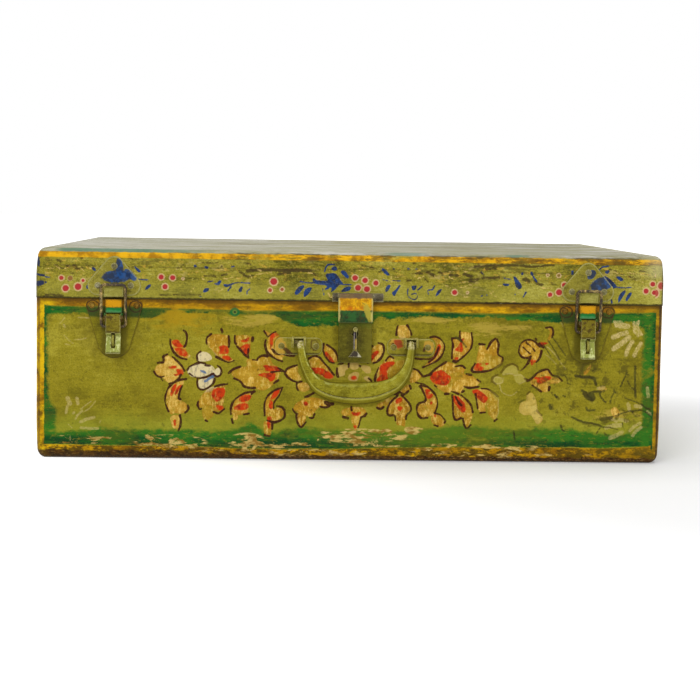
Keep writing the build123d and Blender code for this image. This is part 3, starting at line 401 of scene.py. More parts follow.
# Dark brush strokes round the petals: width in millimetres, and the line.
OUTLINES = (
    (0.93, "-293,196 -293,190 -291,183 -286,174 -277,167 -266,164"),
    (0.62, "-272,212 -267,206 -266,198 -267,192"),
    (1.61, "-267,193 -268,189 -270,185"),
    (0.74, "-303,163 -304,168 -300,171 -297,172"),
    (0.93, "-289,168 -279,159 -273,152 -270,146"),
    (0.74, "-313,158 -304,159"),
    (0.87, "-319,144 -315,138 -308,135 -303,136"),
    (0.74, "-308,135 -305,129"),
    (0.74, "-276,139 -279,133 -285,128 -294,124"),
    (0.87, "-249,163 -250,171 -247,175 -244,177"),
    (0.74, "-265,147 -261,153 -252,157 -246,159"),
    (0.99, "-262,141 -254,136 -246,134 -235,136 -223,142"),
    (0.62, "-247,160 -237,158"),
    (0.87, "-236,155 -229,154"),
    (0.87, "-217,155 -212,151 -210,145 -212,139 -217,137 -221,139"),
    (0.87, "-249,133 -249,126 -247,118 -239,115 -229,120 -223,126 -221,133"),
    (0.87, "-295,79 -299,88 -301,98 -299,109 -295,118 -288,125 -279,130 -267,132"),
    (0.56, "-273,121 -277,112 -279,102"),
    (1.61, "-279,101 -276,99"),
    (0.99, "-264,89 -263,83 -268,77"),
    (1.05, "-277,73 -275,64 -276,55 -279,48"),
    (1.05, "-234,190 -235,195 -233,201 -227,206"),
    (0.62, "-199,203 -198,194 -199,185"),
    (0.87, "-219,169 -209,164 -199,160 -190,163"),
    (1.05, "-211,214 -209,209"),
    (0.74, "-189,204 -189,195 -187,190"),
    (0.87, "-185,186 -179,180 -173,173 -166,167"),
    (1.86, "-160,201 -161,195"),
    (0.93, "-167,182 -167,173 -166,167"),
    (0.87, "-247,96 -248,90 -245,83 -242,84"),
    (0.87, "-221,120 -212,123 -200,125"),
    (0.74, "-222,79 -214,77 -205,84"),
    (0.93, "-235,65 -232,63"),
    (0.99, "-194,75 -194,86 -190,97 -181,105 -170,111 -156,113"),
    (1.49, "-161,109 -157,113"),
    (1.36, "-173,75 -165,77"),
    (1.24, "-193,68 -191,61"),
    (0.87, "-197,145 -191,149 -180,153"),
    (0.99, "-152,164 -151,168 -144,172 -136,171"),
    (1.05, "-130,145 -120,146 -110,147"),
    (0.62, "-119,152 -112,148"),
    (0.87, "-189,134 -179,129 -174,122 -165,119 -156,119"),
    (0.99, "-125,127 -118,132"),
    (1.24, "-198,143 -195,145"),
    (0.87, "-160,165 -152,164"),
    (0.87, "-139,198 -140,190 -138,180 -131,172 -121,166 -112,163"),
    (0.62, "-142,212 -137,204"),
    (0.99, "-135,203 -129,208 -123,211"),
    (1.49, "-128,182 -123,176 -116,174"),
    (0.74, "-118,180 -106,173 -92,172"),
    (0.56, "-120,196 -114,199 -107,197"),
    (0.87, "-111,120 -124,115 -134,107 -139,97 -140,86 -139,74"),
    (0.87, "-112,117 -117,106 -124,96 -125,86"),
    (0.74, "-120,90 -112,88 -107,83"),
    (1.12, "-107,80 -107,72 -114,66 -124,63 -135,66"),
    (0.62, "-127,63 -127,52"),
    (1.05, "-139,42 -131,40"),
    (1.36, "-94,85 -90,79 -86,77"),
    (0.87, "-88,74 -86,63 -80,55 -72,64"),
    (1.18, "-66,71 -61,71 -58,78"),
    (0.5, "-60,112 -68,107 -74,105"),
    (0.74, "-88,128 -88,122 -86,116"),
    (0.87, "-108,144 -102,152 -88,157"),
    (0.74, "-107,142 -99,134 -88,129 -80,130"),
    (0.87, "-69,168 -61,172 -52,170 -44,161 -35,151 -28,142"),
    (1.36, "-45,193 -46,184"),
    (0.87, "-46,181 -42,171 -35,163 -27,161"),
    (0.74, "-40,191 -30,184 -23,174 -21,163"),
    (0.74, "-22,159 -14,161"),
    (0.74, "-23,153 -23,145 -21,139"),
    (0.81, "-4,163 -4,155"),
    (1.24, "14,157 15,156"),
    (0.93, "29,137 34,132"),
    (0.74, "39,132 40,139"),
    (0.74, "44,195 51,192 53,183 50,173 43,165 36,162"),
    (0.81, "27,162 29,171"),
    (0.5, "31,192 34,189"),
    (0.93, "56,166 62,173 69,170"),
    (0.62, "39,136 41,145 45,154"),
    (1.24, "-12,73 -4,71"),
    (0.81, "17,73 24,75"),
    (0.74, "17,70 15,63 13,56"),
    (0.62, "1,90 2,84"),
    (0.87, "20,74 26,79"),
    (0.87, "-50,90 -42,88 -35,90"),
    (2.11, "-41,96 -34,94 -29,94"),
    (0.87, "77,109 67,100 61,90 60,81 63,76 72,76 74,68"),
    (0.87, "82,110 90,103 97,94 99,85 92,77 91,70"),
    (1.49, "70,111 78,113"),
    (1.24, "96,125 98,120"),
    (0.62, "80,115 87,111 94,117"),
    (0.87, "43,89 48,87 54,90"),
    (0.74, "75,224 73,216 73,208"),
    (0.93, "90,224 95,216 97,209"),
    (0.87, "128,205 137,206 146,201 151,192 150,182 144,171 133,163 117,156"),
    (1.24, "104,170 115,169 125,169 133,172"),
    (1.61, "142,189 136,174 126,164"),
    (0.81, "123,197 123,189 130,184 135,186"),
    (0.87, "163,204 174,204 179,199"),
    (0.62, "176,205 176,215"),
    (0.74, "163,202 165,192 164,183 164,171"),
    (1.12, "195,213 197,200 194,187 186,177 171,165 167,167"),
    (0.99, "166,166 171,166"),
    (0.99, "208,195 217,194"),
    (0.62, "221,186 227,198 234,204"),
    (0.62, "237,203 240,194 239,179 247,173 246,164"),
    (0.87, "245,162 234,155 223,151 206,149 197,151 202,163"),
    (0.74, "116,140 128,145 138,154 155,165"),
    (0.62, "170,158 180,159 186,155"),
    (0.99, "188,146 196,144"),
    (0.74, "206,137 211,133"),
    (1.12, "185,125 194,123 209,125"),
    (1.61, "182,116 184,118"),
    (1.36, "154,113 160,113"),
    (0.99, "164,117 176,113"),
    (0.99, "136,127 139,124"),
    (1.24, "129,143 131,145"),
    (0.62, "102,153 109,150 117,141"),
    (0.62, "118,140 126,143"),
    (0.99, "106,131 118,128 130,120 139,109 142,96 139,84 137,81"),
    (0.87, "112,125 116,120 122,107 121,100 111,96 108,87 111,77 117,72 126,73"),
    (1.49, "115,127 122,125"),
    (0.99, "139,80 147,78 155,69 154,65"),
    (0.74, "137,61 143,59"),
    (0.99, "166,111 167,95 168,80 172,70 181,73"),
    (0.74, "180,111 189,104 197,94 200,83"),
    (0.87, "184,72 187,61 191,56 197,62"),
    (0.62, "171,108 177,98 181,94"),
    (0.87, "213,122 224,121 234,115 241,109"),
    (0.62, "204,113 206,101 208,89"),
    (1.05, "212,82 221,83"),
    (1.12, "236,69 240,72"),
    (0.93, "273,182 274,192 280,200 289,203 299,200 307,191"),
    (1.36, "273,182 278,175 287,173 293,176"),
    (1.49, "292,173 287,162 277,152"),
    (0.5, "310,185 308,174 302,166"),
    (1.12, "306,197 313,191"),
    (1.36, "300,205 301,204"),
    (0.81, "316,223 325,224 329,217 327,208"),
    (0.56, "279,191 286,185 292,180"),
    (0.56, "285,198 294,191 299,185"),
    (0.87, "246,149 253,159 263,163 271,159 273,154"),
    (0.74, "230,134 232,141 239,145"),
    (0.62, "230,135 237,129"),
    (0.68, "288,137 284,139"),
    (0.87, "288,135 295,139 306,150 320,155 325,150 329,145 338,143 345,136"),
    (0.93, "297,128 306,122 312,118"),
    (0.62, "325,126 324,120"),
    (0.87, "289,114 293,118"),
    (0.87, "305,87 313,79"),
)

# Cream brush strokes of the corner fans and the pale flowers: width and line.
FANS = (
    (1.61, "79,203 92,201 104,203"),
    (1.24, "77,206 86,203"),
    (0.56, "242,104 241,95 242,84 239,75"),
    (0.74, "234,133 233,138 237,141 249,139"),
    (0.62, "243,128 248,116 262,111 271,117"),
    (0.68, "266,144 279,144 285,136 275,130"),
    (0.62, "248,145 260,147 269,144"),
    (0.56, "237,130 247,132 249,138"),
    (0.37, "316,180 325,173 335,163"),
    (0.37, "319,192 332,180 350,156"),
    (0.5, "341,232 345,225"),
    (3.29, "433,229 450,227"),
    (2.55, "427,209 438,213 449,217"),
    (2.85, "429,190 440,198 453,209"),
    (2.1, "449,180 453,192 459,202"),
    (1.8, "463,179 467,189 473,199"),
    (0.97, "461,233 462,220 468,212"),
    (0.97, "468,235 467,224 474,214"),
    (1.5, "429,234 439,233"),
    (1.65, "442,73 454,71"),
    (2.25, "420,60 431,63 443,64"),
    (2.1, "427,43 436,47 446,52"),
    (1.05, "459,55 467,63 476,68"),
    (1.27, "464,47 470,55 478,61"),
    (1.8, "468,96 476,95"),
    (1.5, "455,99 458,89"),
    (1.2, "487,87 497,81"),
    (1.2, "428,75 437,70"),
    (1.65, "405,124 414,126"),
    (1.5, "486,126 488,112"),
    (3.64, "-458,99 -454,90"),
    (2.31, "-460,75 -458,86"),
    (2.81, "-443,99 -441,90"),
    (1.98, "-449,74 -447,76"),
    (1.82, "-445,65 -441,72 -434,79"),
    (0.83, "-437,81 -427,89 -420,94"),
    (0.74, "-431,77 -421,84 -413,95"),
    (2.64, "-437,60 -427,65 -415,68"),
    (2.31, "-436,51 -422,50 -409,50"),
    (0.99, "-464,202 -456,193 -449,188"),
    (1.82, "-464,218 -462,214"),
    (0.66, "-462,187 -454,185"),
    (0.74, "-447,194 -434,195 -428,197"),
    (1.24, "-441,230 -431,230 -423,229"),
    (0.83, "-470,220 -466,225 -462,230"),
    (0.58, "-421,237 -415,225 -412,217"),
    (0.74, "-457,57 -450,50"),
    (0.74, "-454,39 -453,30"),
    (0.66, "-404,64 -406,59"),
)

# Rubbed and stained places on the front wall: width and line.
STAINS = (
    (2.23, "275,100 283,104"),
    (0.81, "291,61 300,60 310,62"),
    (2.73, "338,110 341,106"),
    (2.6, "330,96 331,88"),
    (1.49, "268,76 271,71"),
    (0.93, "288,74 290,73"),
    (0.87, "267,228 273,223 282,216"),
    (0.87, "263,62 264,56"),
    (0.87, "266,50 268,38"),
    (1.24, "317,60 319,57"),
    (1.49, "351,59 355,51"),
    (0.87, "243,115 245,111"),
    (2.4, "371,143 386,142 402,141"),
    (2.1, "399,140 403,128"),
    (3.29, "380,164 377,155 374,146"),
    (1.8, "397,152 406,155"),
    (5.24, "390,115 395,106"),
    (1.5, "431,97 436,111 442,116"),
    (1.35, "435,125 437,114"),
    (1.05, "448,126 454,139 457,148"),
    (1.27, "457,139 467,124"),
    (1.05, "454,154 456,145"),
    (1.12, "392,92 394,87 406,87"),
    (2.55, "414,68 426,71 437,75"),
    (2.25, "367,75 385,66 413,62"),
    (2.1, "478,124 489,130"),
    (1.95, "467,81 475,80"),
    (2.25, "419,48 424,47"),
    (1.35, "358,132 362,130"),
    (0.97, "343,145 354,144 359,135"),
    (0.82, "470,161 471,130"),
    (1.12, "467,112 468,110"),
    (0.99, "-358,85 -355,89"),
    (1.32, "-332,63 -328,63"),
    (1.49, "-345,71 -342,72"),
    (1.82, "-305,60 -302,55"),
    (0.74, "-308,187 -308,180"),
    (1.07, "-333,217 -331,214 -329,218"),
    (0.99, "-362,126 -358,127"),
    (0.91, "-304,120 -302,115"),
    (0.99, "-372,145 -367,145"),
    (0.83, "-449,79 -443,76"),
)

# Dark scores and knocks on the front wall, as strokes: width in millimetres, line.
MARKS = (
    (2.7, "367,145 378,143 389,143 398,141"),
    (2.4, "396,142 400,135 401,131"),
    (1.5, "396,158 401,156"),
    (1.2, "394,153 402,157"),
    (1.2, "344,146 349,145 353,140 354,133 359,131"),
    (4.1, "383,116 389,109 397,108 394,116"),
    (2.3, "397,119 410,119"),
    (2.3, "378,121 385,117"),
    (1.8, "408,118 408,114 413,106 418,102"),
    (1.2, "413,121 417,121"),
    (1.4, "431,125 432,119 436,117"),
    (1.5, "431,117 427,109 426,100"),
    (1.4, "451,155 450,147 446,137 442,128"),
    (1.2, "451,149 455,147"),
    (1.4, "454,137 458,129 463,124 467,119"),
    (0.9, "450,109 459,106 470,102"),
    (1.4, "470,102 480,97 486,92 492,90"),
    (1.2, "429,78 439,81 446,84 457,87 467,88"),
    (1.4, "467,88 477,89 485,86 492,81"),
    (0.9, "476,101 484,94 492,92"),
    (3.1, "412,73 421,75 428,76"),
    (1.8, "363,77 371,73 382,69 394,67 405,65 412,62"),
    (1.2, "410,60 406,53 404,50"),
    (1.2, "413,61 427,60 439,57"),
    (1.8, "386,93 389,88 400,89"),
    (2.4, "326,96 328,90"),
    (2.0, "334,113 337,109"),
    (1.4, "347,112 351,110"),
    (1.4, "345,63 347,57 351,53"),
    (1.2, "446,68 448,60"),
    (1.5, "417,52 420,48"),
    (0.9, "438,86 440,80 436,76"),
    (1.2, "462,87 466,81 470,78"),
    (2.0, "465,162 465,148 466,131 467,110"),
    (1.6, "169,206 180,198 187,190"),
    (1.2, "320,203 333,184 340,171"),
    (1.2, "328,207 343,187 350,178"),
    (1.2, "312,197 325,177"),
    (1.6, "268,53 270,37"),
    (1.2, "364,225 372,214"),
)

# Paint chipped away to a cream ground along the lower band, as strokes: width in millimetres, line.
WORN = (
    (2.0, "-412,34 -400,36 -388,34"),
    (3.6, "-330,38 -322,34"),
    (2.4, "-334,24 -318,26 -306,22 -290,23"),
    (3.4, "-292,31 -282,33 -272,30"),
    (2.2, "-284,24 -262,22 -248,19 -230,20 -214,17 -196,19"),
    (4.4, "-172,22 -164,30 -158,38 -154,30"),
    (2.4, "-176,16 -160,18 -150,26 -140,22"),
    (1.6, "-128,22 -104,26 -84,24 -60,28"),
    (2.2, "-52,37 -30,40 -8,38 16,40 40,37 60,38"),
    (1.6, "-60,33 -36,32 -10,33 20,31 52,33"),
    (1.4, "6,26 30,27 60,25 86,27"),
    (3.0, "52,50 60,52 66,50"),
    (1.6, "120,29 136,28 150,30"),
)

# Berries along the lid: across, up, radius of the red spot, radius of its pale ring, and how red it still is.
BERRIES = (
    (-233.8, 146.8, 2.0, 4.0, 0.6),
    (-226.7, 146.5, 2.3, 2.3, 0.25),
    (-230.4, 138.5, 2.8, 4.2, 1),
    (-220.5, 139.9, 3.0, 4.4, 1),
    (-216.6, 144.9, 1.5, 3.9, 0.7),
    (-154.1, 148.5, 2.3, 4.0, 0.9),
    (-154.0, 148.7, 2.0, 3.1, 0.9),
    (-144.9, 148.1, 2.3, 3.2, 1),
    (-136.6, 147.4, 0.7, 3.4, 0),
    (-150.9, 140.8, 2.4, 3.5, 1),
    (-63.6, 146.2, 3.1, 3.9, 1),
    (-66.5, 139.1, 1.8, 4.2, 0.5),
    (-56.8, 139.9, 1.6, 3.1, 0.4),
    (2.0, 150.0, 2.5, 3.6, 1),
    (10.1, 148.1, 2.5, 3.6, 1),
    (4.5, 142.1, 2.7, 3.8, 1),
    (11.7, 141.1, 2.7, 3.8, 1),
    (18.9, 146.1, 2.4, 3.2, 0.85),
    (82.9, 139.4, 2.3, 3.4, 0.8),
    (93.4, 139.4, 0.8, 3.2, 0),
    (158.4, 154.4, 0.9, 3.7, 0),
    (167.5, 154.3, 1.5, 4.1, 0.05),
    (172.2, 146.6, 2.2, 3.4, 0.85),
    (160.7, 138.6, 2.1, 3.4, 0.8),
    (168.0, 140.6, 2.8, 3.5, 1),
    (244.6, 148.3, 2.2, 3.2, 0.95),
    (251.1, 146.5, 2.4, 3.0, 1),
    (239.2, 142.6, 2.4, 3.7, 1),
    (246.0, 141.4, 2.1, 3.2, 0.8),
    (248.0, 155.4, 1.3, 3.7, 0.3),
)

# Blue leaves and flower heads along the lid: outlines.
LEAVES = (
    "-508,281 -505,286 -493,288 -490,286 -497,282 -506,279",
    "-420,311 -415,311 -412,306 -417,306",
    "-409,296 -399,296 -389,298 -381,301 -375,305 -374,315 -372,322 -369,311 -360,301 -355,293 "
     "-364,287 -369,287 -383,289 -393,289",
    "-352,314 -347,312 -340,304 -346,305",
    "-428,281 -421,287 -415,288 -420,281 -426,276",
    "-334,276 -331,283 -324,285 -327,279",
    "-353,281 -348,284 -345,277 -351,272 -353,276",
    "-257,316 -254,318 -250,315 -254,313",
    "-240,315 -236,316 -232,314 -235,311",
    "-224,288 -219,289 -215,293 -211,292 -216,285 -220,286",
    "-209,287 -197,287 -191,289 -196,285 -204,282",
    "-241,274 -238,280 -231,280 -232,276 -238,273",
    "-184,276 -181,283 -177,283 -179,275",
    "-35,315 -29,319 -25,315 -28,311 -33,312",
    "-20,310 -13,311 -6,302 -8,299 -13,302",
    "-44,304 -38,307 -29,307 -24,303 -17,293 -14,289 -21,288 -29,280 -35,276 -33,283 -39,284 "
     "-45,288 -50,288 -63,291 -64,299 -58,296 -48,295 -40,295",
    "-18,277 -13,284 -5,286 -2,284 -6,279",
    "-93,276 -86,285 -78,287 -80,281 -88,272 -92,272",
    "-79,270 -76,281 -66,284 -68,277 -76,268",
    "-45,282 -38,286 -38,282 -43,280",
    "46,316 50,316 60,307 58,304 50,309",
    "53,282 57,289 62,288 57,279 54,278",
    "64,277 70,282 75,289 78,288 72,278 68,271",
    "96,288 104,289 102,282 97,282",
    "135,272 138,281 145,284 141,276",
    "261,306 265,305 275,291 271,285 265,290 263,298",
    "273,310 275,314 278,310 275,308",
    "243,294 253,294 254,291 247,290",
    "288,312 291,315 294,309 291,307",
    "363,309 369,308 376,300 370,299 365,303",
    "387,291 394,294 403,295 401,304 405,308 415,307 429,294 429,290 423,287 419,281 416,288 "
     "408,289 395,289",
    "410,316 415,319 418,316 414,312",
    "428,308 435,308 442,303 436,301",
    "433,268 435,279 443,286 445,283 438,271 435,266",
    "445,271 448,279 453,283 455,280 449,270 447,268",
    "367,285 371,288 378,288 377,285 371,284",
    "405,284 411,287 414,286 408,282",
)

# Blue brush strokes along the lid: width and line.
STEMS = (
    (0.81, "-508,299 -499,296 -487,294"),
    (1.75, "-502,321 -502,315"),
    (0.87, "-409,295 -397,294"),
    (1.01, "-356,293 -343,293 -329,292"),
    (1.34, "-409,276 -407,275"),
    (1.34, "-408,272 -407,270"),
    (1.01, "-234,290 -225,292"),
    (0.81, "-197,287 -184,290 -165,289"),
    (1.07, "-165,280 -170,276 -170,272"),
    (0.94, "-246,267 -244,266"),
    (1.34, "-196,283 -201,276"),
    (1.07, "-196,315 -191,316"),
    (1.34, "-45,309 -44,315 -39,321 -29,321"),
    (0.81, "-85,293 -72,291 -62,291"),
    (0.94, "-15,289 -2,289"),
    (1.01, "-48,282 -46,272"),
    (1.01, "49,298 57,296"),
    (1.01, "65,297 77,296"),
    (1.07, "91,286 89,277 93,269 100,266"),
    (0.94, "64,317 68,315"),
    (0.94, "89,316 92,316"),
    (1.07, "91,286 89,278 92,270 100,266 105,270 103,276 96,275"),
    (1.34, "113,288 106,282"),
    (1.21, "133,289 130,283 123,282 123,275"),
    (1.07, "212,309 208,313"),
    (1.21, "209,273 211,274"),
    (1.07, "217,276 219,275"),
    (1.21, "282,281 278,273"),
    (0.81, "246,303 257,301"),
    (0.81, "102,316 104,316"),
    (0.81, "90,317 91,316"),
    (0.94, "264,278 265,276"),
    (1.62, "293,307 299,298"),
    (1.77, "357,316 357,311"),
    (1.11, "359,294 371,293 389,292"),
    (1.03, "429,291 441,290 454,291"),
    (1.33, "400,318 406,323 416,325"),
    (1.62, "422,270 423,265"),
    (1.11, "416,280 419,284"),
    (1.18, "374,319 377,318"),
    (1.48, "384,306 387,308"),
    (0.96, "281,280 282,279"),
)

# Scraped places on the lid that show the pale coat: width and line.
SCRAPES = (
    (1.07, "-500,310 -492,309 -480,309"),
    (0.87, "-478,314 -475,311"),
    (0.87, "-473,311 -470,308"),
    (0.87, "-466,315 -463,312"),
    (0.87, "-462,309 -459,306"),
    (0.87, "-456,312 -453,309"),
    (0.87, "-450,306 -447,303"),
    (0.87, "-441,314 -438,312"),
    (0.87, "-436,309 -433,306"),
    (0.87, "-433,307 -430,304"),
    (0.87, "-423,311 -419,308"),
    (1.07, "-301,309 -296,307"),
    (1.07, "-284,310 -275,310"),
    (1.07, "-254,308 -240,304"),
    (1.07, "-210,297 -200,296 -193,299"),
    (1.07, "-155,312 -147,309"),
    (1.07, "-156,303 -131,308"),
    (1.07, "-167,305 -163,298"),
    (1.07, "-212,311 -204,308"),
    (1.07, "-202,304 -196,303"),
    (1.07, "-260,274 -255,281 -251,282"),
    (1.07, "-215,274 -207,281"),
    (1.07, "-244,297 -239,294"),
    (1.07, "-188,296 -179,298"),
    (1.07, "-139,305 -132,301"),
    (1.07, "-217,276 -209,273"),
    (0.94, "-85,305 -80,303"),
    (0.94, "-73,307 -65,307"),
    (0.81, "7,313 15,312"),
    (1.75, "-39,275 -34,268 -23,275"),
    (0.67, "62,303 63,290"),
    (0.81, "68,303 73,302"),
    (0.94, "100,304 102,303"),
    (0.94, "105,300 112,303"),
    (0.94, "116,304 117,303"),
    (0.94, "133,305 135,303"),
    (0.94, "156,312 163,312"),
    (0.94, "179,313 186,312"),
    (0.94, "172,295 177,294"),
    (0.94, "156,303 163,301"),
    (0.94, "197,300 199,298"),
    (0.94, "237,291 242,291"),
    (0.94, "150,290 158,286"),
    (0.94, "176,287 184,289"),
    (0.94, "181,272 192,271"),
    (0.94, "245,268 257,265 272,264"),
    (0.94, "189,292 196,290"),
    (0.94, "226,276 234,272"),
    (0.94, "223,279 229,281"),
    (0.94, "180,296 189,297"),
    (0.89, "443,315 466,313 475,312"),
    (1.18, "490,320 499,312"),
    (0.89, "424,317 431,314"),
    (1.03, "304,290 311,288 326,288"),
    (0.89, "347,278 352,272 358,270"),
    (0.89, "341,271 350,264"),
    (1.92, "288,263 304,262 316,263"),
    (0.89, "468,301 475,299"),
)

# Dark rubbed places on the lid: width and line.
RUBS = (
    (0.94, "-478,314 -473,312"),
    (1.07, "-469,310 -464,309"),
    (1.48, "-460,314 -455,313"),
    (2.28, "-449,314 -445,313"),
    (1.61, "-444,309 -439,308"),
    (1.21, "-435,311 -430,309"),
    (1.07, "-420,315 -415,313"),
    (2.01, "-473,322 -468,320"),
    (1.48, "-439,328 -434,326"),
    (0.81, "-453,303 -449,301"),
    (0.94, "-429,315 -425,313"),
    (1.61, "-509,264 -486,266 -465,265"),
    (0.94, "-505,327 -498,327"),
    (0.81, "-360,328 -354,325"),
    (0.94, "-282,311 -272,317"),
    (2.69, "-170,309 -158,310 -137,311 -102,310"),
    (1.61, "-183,308 -169,299"),
    (1.07, "-239,300 -220,299"),
    (1.07, "-212,315 -210,317"),
    (1.21, "-195,318 -192,315"),
    (1.34, "-177,299 -160,302"),
    (1.21, "-211,301 -202,304"),
    (1.75, "-254,336 -237,335 -226,333"),
    (2.01, "-226,330 -210,330 -187,331"),
    (0.94, "-171,322 -164,319"),
    (0.81, "-242,321 -218,321"),
    (1.88, "-120,305 -101,307"),
    (1.21, "-293,335 -279,334"),
    (2.01, "-253,258 -217,257 -190,259 -144,258"),
    (1.07, "-311,268 -289,269 -244,269"),
    (1.48, "-160,337 -102,336"),
    (2.95, "-110,309 -90,311 -69,311"),
    (1.48, "-69,311 -57,302"),
    (0.94, "9,315 18,315"),
    (2.01, "-60,334 -50,333 -40,334"),
    (1.21, "-110,336 -94,336 -46,336"),
    (0.94, "42,310 47,313"),
    (1.48, "-37,267 -23,264"),
    (0.81, "-34,282 -27,286"),
    (1.07, "97,325 101,327"),
    (0.67, "14,321 38,316"),
    (1.48, "89,298 92,296"),
    (1.75, "97,308 112,309"),
    (2.42, "121,311 132,306"),
    (1.61, "139,311 146,309"),
    (2.42, "158,307 170,306"),
    (2.42, "180,309 192,305"),
    (1.61, "206,312 212,309"),
    (1.75, "211,303 223,303 238,304"),
    (1.75, "190,300 204,300"),
    (2.01, "198,321 225,323 263,324 288,323"),
    (2.28, "217,318 232,318"),
    (2.28, "277,302 287,298"),
    (1.07, "97,328 101,327"),
    (2.01, "217,261 247,262 289,261"),
    (0.94, "152,336 157,336"),
    (1.75, "88,297 95,297"),
    (1.34, "117,299 122,296"),
    (1.61, "188,297 197,296"),
    (1.77, "280,322 298,323 328,326"),
    (2.51, "281,303 287,298"),
    (1.18, "350,331 370,332 396,332"),
    (1.92, "296,301 300,295 309,293"),
    (1.48, "324,295 329,294"),
    (1.03, "418,320 431,316"),
    (1.03, "450,309 460,304"),
    (2.22, "505,320 507,280"),
    (1.03, "466,318 476,317"),
    (1.33, "501,339 507,332"),
)

# ---------------------------------------------------------------- lines and fields of paint


def coordinates(text):
    """The points of one table row, in millimetres: the row gives half millimetres."""
    return np.array([pair.split(",") for pair in text.split()], float) / 2.0


def flowing_line(points, closed, parts=5):
    """A Catmull-Rom line: between two points it is the cubic whose slope at each point is half
    the step between that point's neighbours, so the brush line passes through every point."""
    if closed:
        before, start = np.roll(points, 1, 0), points
        end, after = np.roll(points, -1, 0), np.roll(points, -2, 0)
    else:
        padded = np.vstack([2 * points[0] - points[1], points, 2 * points[-1] - points[-2]])
        before, start, end, after = padded[:-3], padded[1:-2], padded[2:-1], padded[3:]
    t = np.linspace(0, 1, parts, endpoint=False)[None, :, None]
    a, b, c, d = (p[:, None, :] for p in (before, start, end, after))
    line = 0.5 * (2 * b + (c - a) * t + (2 * a - 5 * b + 4 * c - d) * t**2 + (3 * b - a - 3 * c + d) * t**3)
    line = line.reshape(-1, 2)
    return line if closed else np.vstack([line, points[-1]])


def line_distance(across, up, starts, ends):
    """The distance from each grid point to the nearest of the straight pieces: the point is
    projected on each piece, held between its ends, and the shortest gap is kept."""
    step = ends - starts
    length_squared = np.maximum((step**2).sum(1), 1e-9)
    from_x = across[..., None] - starts[:, 0]
    from_z = up[..., None] - starts[:, 1]
    share = np.clip((from_x * step[:, 0] + from_z * step[:, 1]) / length_squared, 0, 1)
    return np.hypot(from_x - share * step[:, 0], from_z - share * step[:, 1]).min(-1)


def inside(across, up, starts, ends):
    """True where a ray to the right crosses the closed outline an odd number of times."""
    straddles = (starts[:, 1] > up[..., None]) != (ends[:, 1] > up[..., None])
    rise = np.where(ends[:, 1] == starts[:, 1], 1e-9, ends[:, 1] - starts[:, 1])
    crossing = starts[:, 0] + (up[..., None] - starts[:, 1]) / rise * (ends[:, 0] - starts[:, 0])
    return (straddles & (across[..., None] < crossing)).sum(-1) % 2 == 1


class Canvas:
    """Fields of signed distance on the flat front of a skin: positive inside the paint, in millimetres."""

    def __init__(self, across, up, names):
        self.across, self.up = across, up
        self.fields = {name: np.full((len(up), len(across)), -REACH) for name in names}

    def patch(self, line, margin):
        """The rows and columns of the grid that a shape can reach, and their coordinates."""
        low, high = line.min(0) - margin, line.max(0) + margin
        columns = np.flatnonzero((self.across >= low[0]) & (self.across <= high[0]))
        rows = np.flatnonzero((self.up >= low[1]) & (self.up <= high[1]))
        across, up = np.meshgrid(self.across[columns], self.up[rows])
        return np.ix_(rows, columns), across, up

    def lay(self, name, spot, depth, value_name=None, value=0.0):
        """Keeps the deeper of the old and the new paint, and notes a value where the new paint lies."""
        field = self.fields[name]
        if value_name:
            over = depth > -1.0
            kept = self.fields[value_name][spot]
            self.fields[value_name][spot] = np.where(over, value, kept)
        field[spot] = np.maximum(field[spot], np.clip(depth, -REACH, REACH))

    def outline(self, name, text, value_name=None, value=0.0):
        """A closed painted shape: its depth is the distance to its edge, negative outside."""
        line = flowing_line(coordinates(text), True)
        spot, across, up = self.patch(line, REACH)
        ends = np.roll(line, -1, 0)
        distance = line_distance(across, up, line, ends)
        depth = np.where(inside(across, up, line, ends), distance, -distance)
        self.lay(name, spot, depth, value_name, value)

    def stroke(self, name, width, text, thinnest=1.1):
        """A brush stroke: its depth is half its width less the distance to its line."""
        line = flowing_line(coordinates(text), False)
        half = max(width, thinnest) / 2
        spot, across, up = self.patch(line, REACH + half)
        depth = half - line_distance(across, up, line[:-1], line[1:])
        self.lay(name, spot, depth)

    def spot(self, name, x, z, radius, value_name=None, value=0.0):
        """A round dab: its depth is its radius less the distance to its middle."""
        middle = np.array([[x, z]])
        patch, across, up = self.patch(middle, REACH + radius)
        self.lay(name, patch, radius - np.hypot(across - x, up - z), value_name, value)


def level_bands(across, up):
    """How deep each grid point lies in the emerald bands and in the gilded border: the shorter way
    to a band's lower and upper edge, the edges running straight between the rows of the tables."""
    upper, lower = np.array(UPPER_BAND), np.array(LOWER_BAND)
    edges = [np.interp(across, table[:, 0], table[:, column])
             for table, column in ((upper, 1), (upper, 2), (lower, 1), (lower, 2))]
    up = up[:, None]
    band = np.maximum(np.minimum(up - edges[0], edges[1] - up), np.minimum(up - edges[2], edges[3] - up))
    border = np.maximum(up - edges[1], edges[2] - up)
    return {"band": np.clip(band, -REACH, REACH), "border": np.clip(border, -REACH, REACH)}


# ---------------------------------------------------------------- folded sheets


def spread(stops):
    """One rising row of places from (place, spacing up to the next place) pairs, without doubles."""
    runs = []
    for (start, spacing), (end, _) in zip(stops[:-1], stops[1:]):
        count = max(int(math.ceil(abs(end - start) / spacing)), 1)
        runs.append(np.linspace(start, end, count, endpoint=False))
    return np.concatenate(runs + [[stops[-1][0]]])


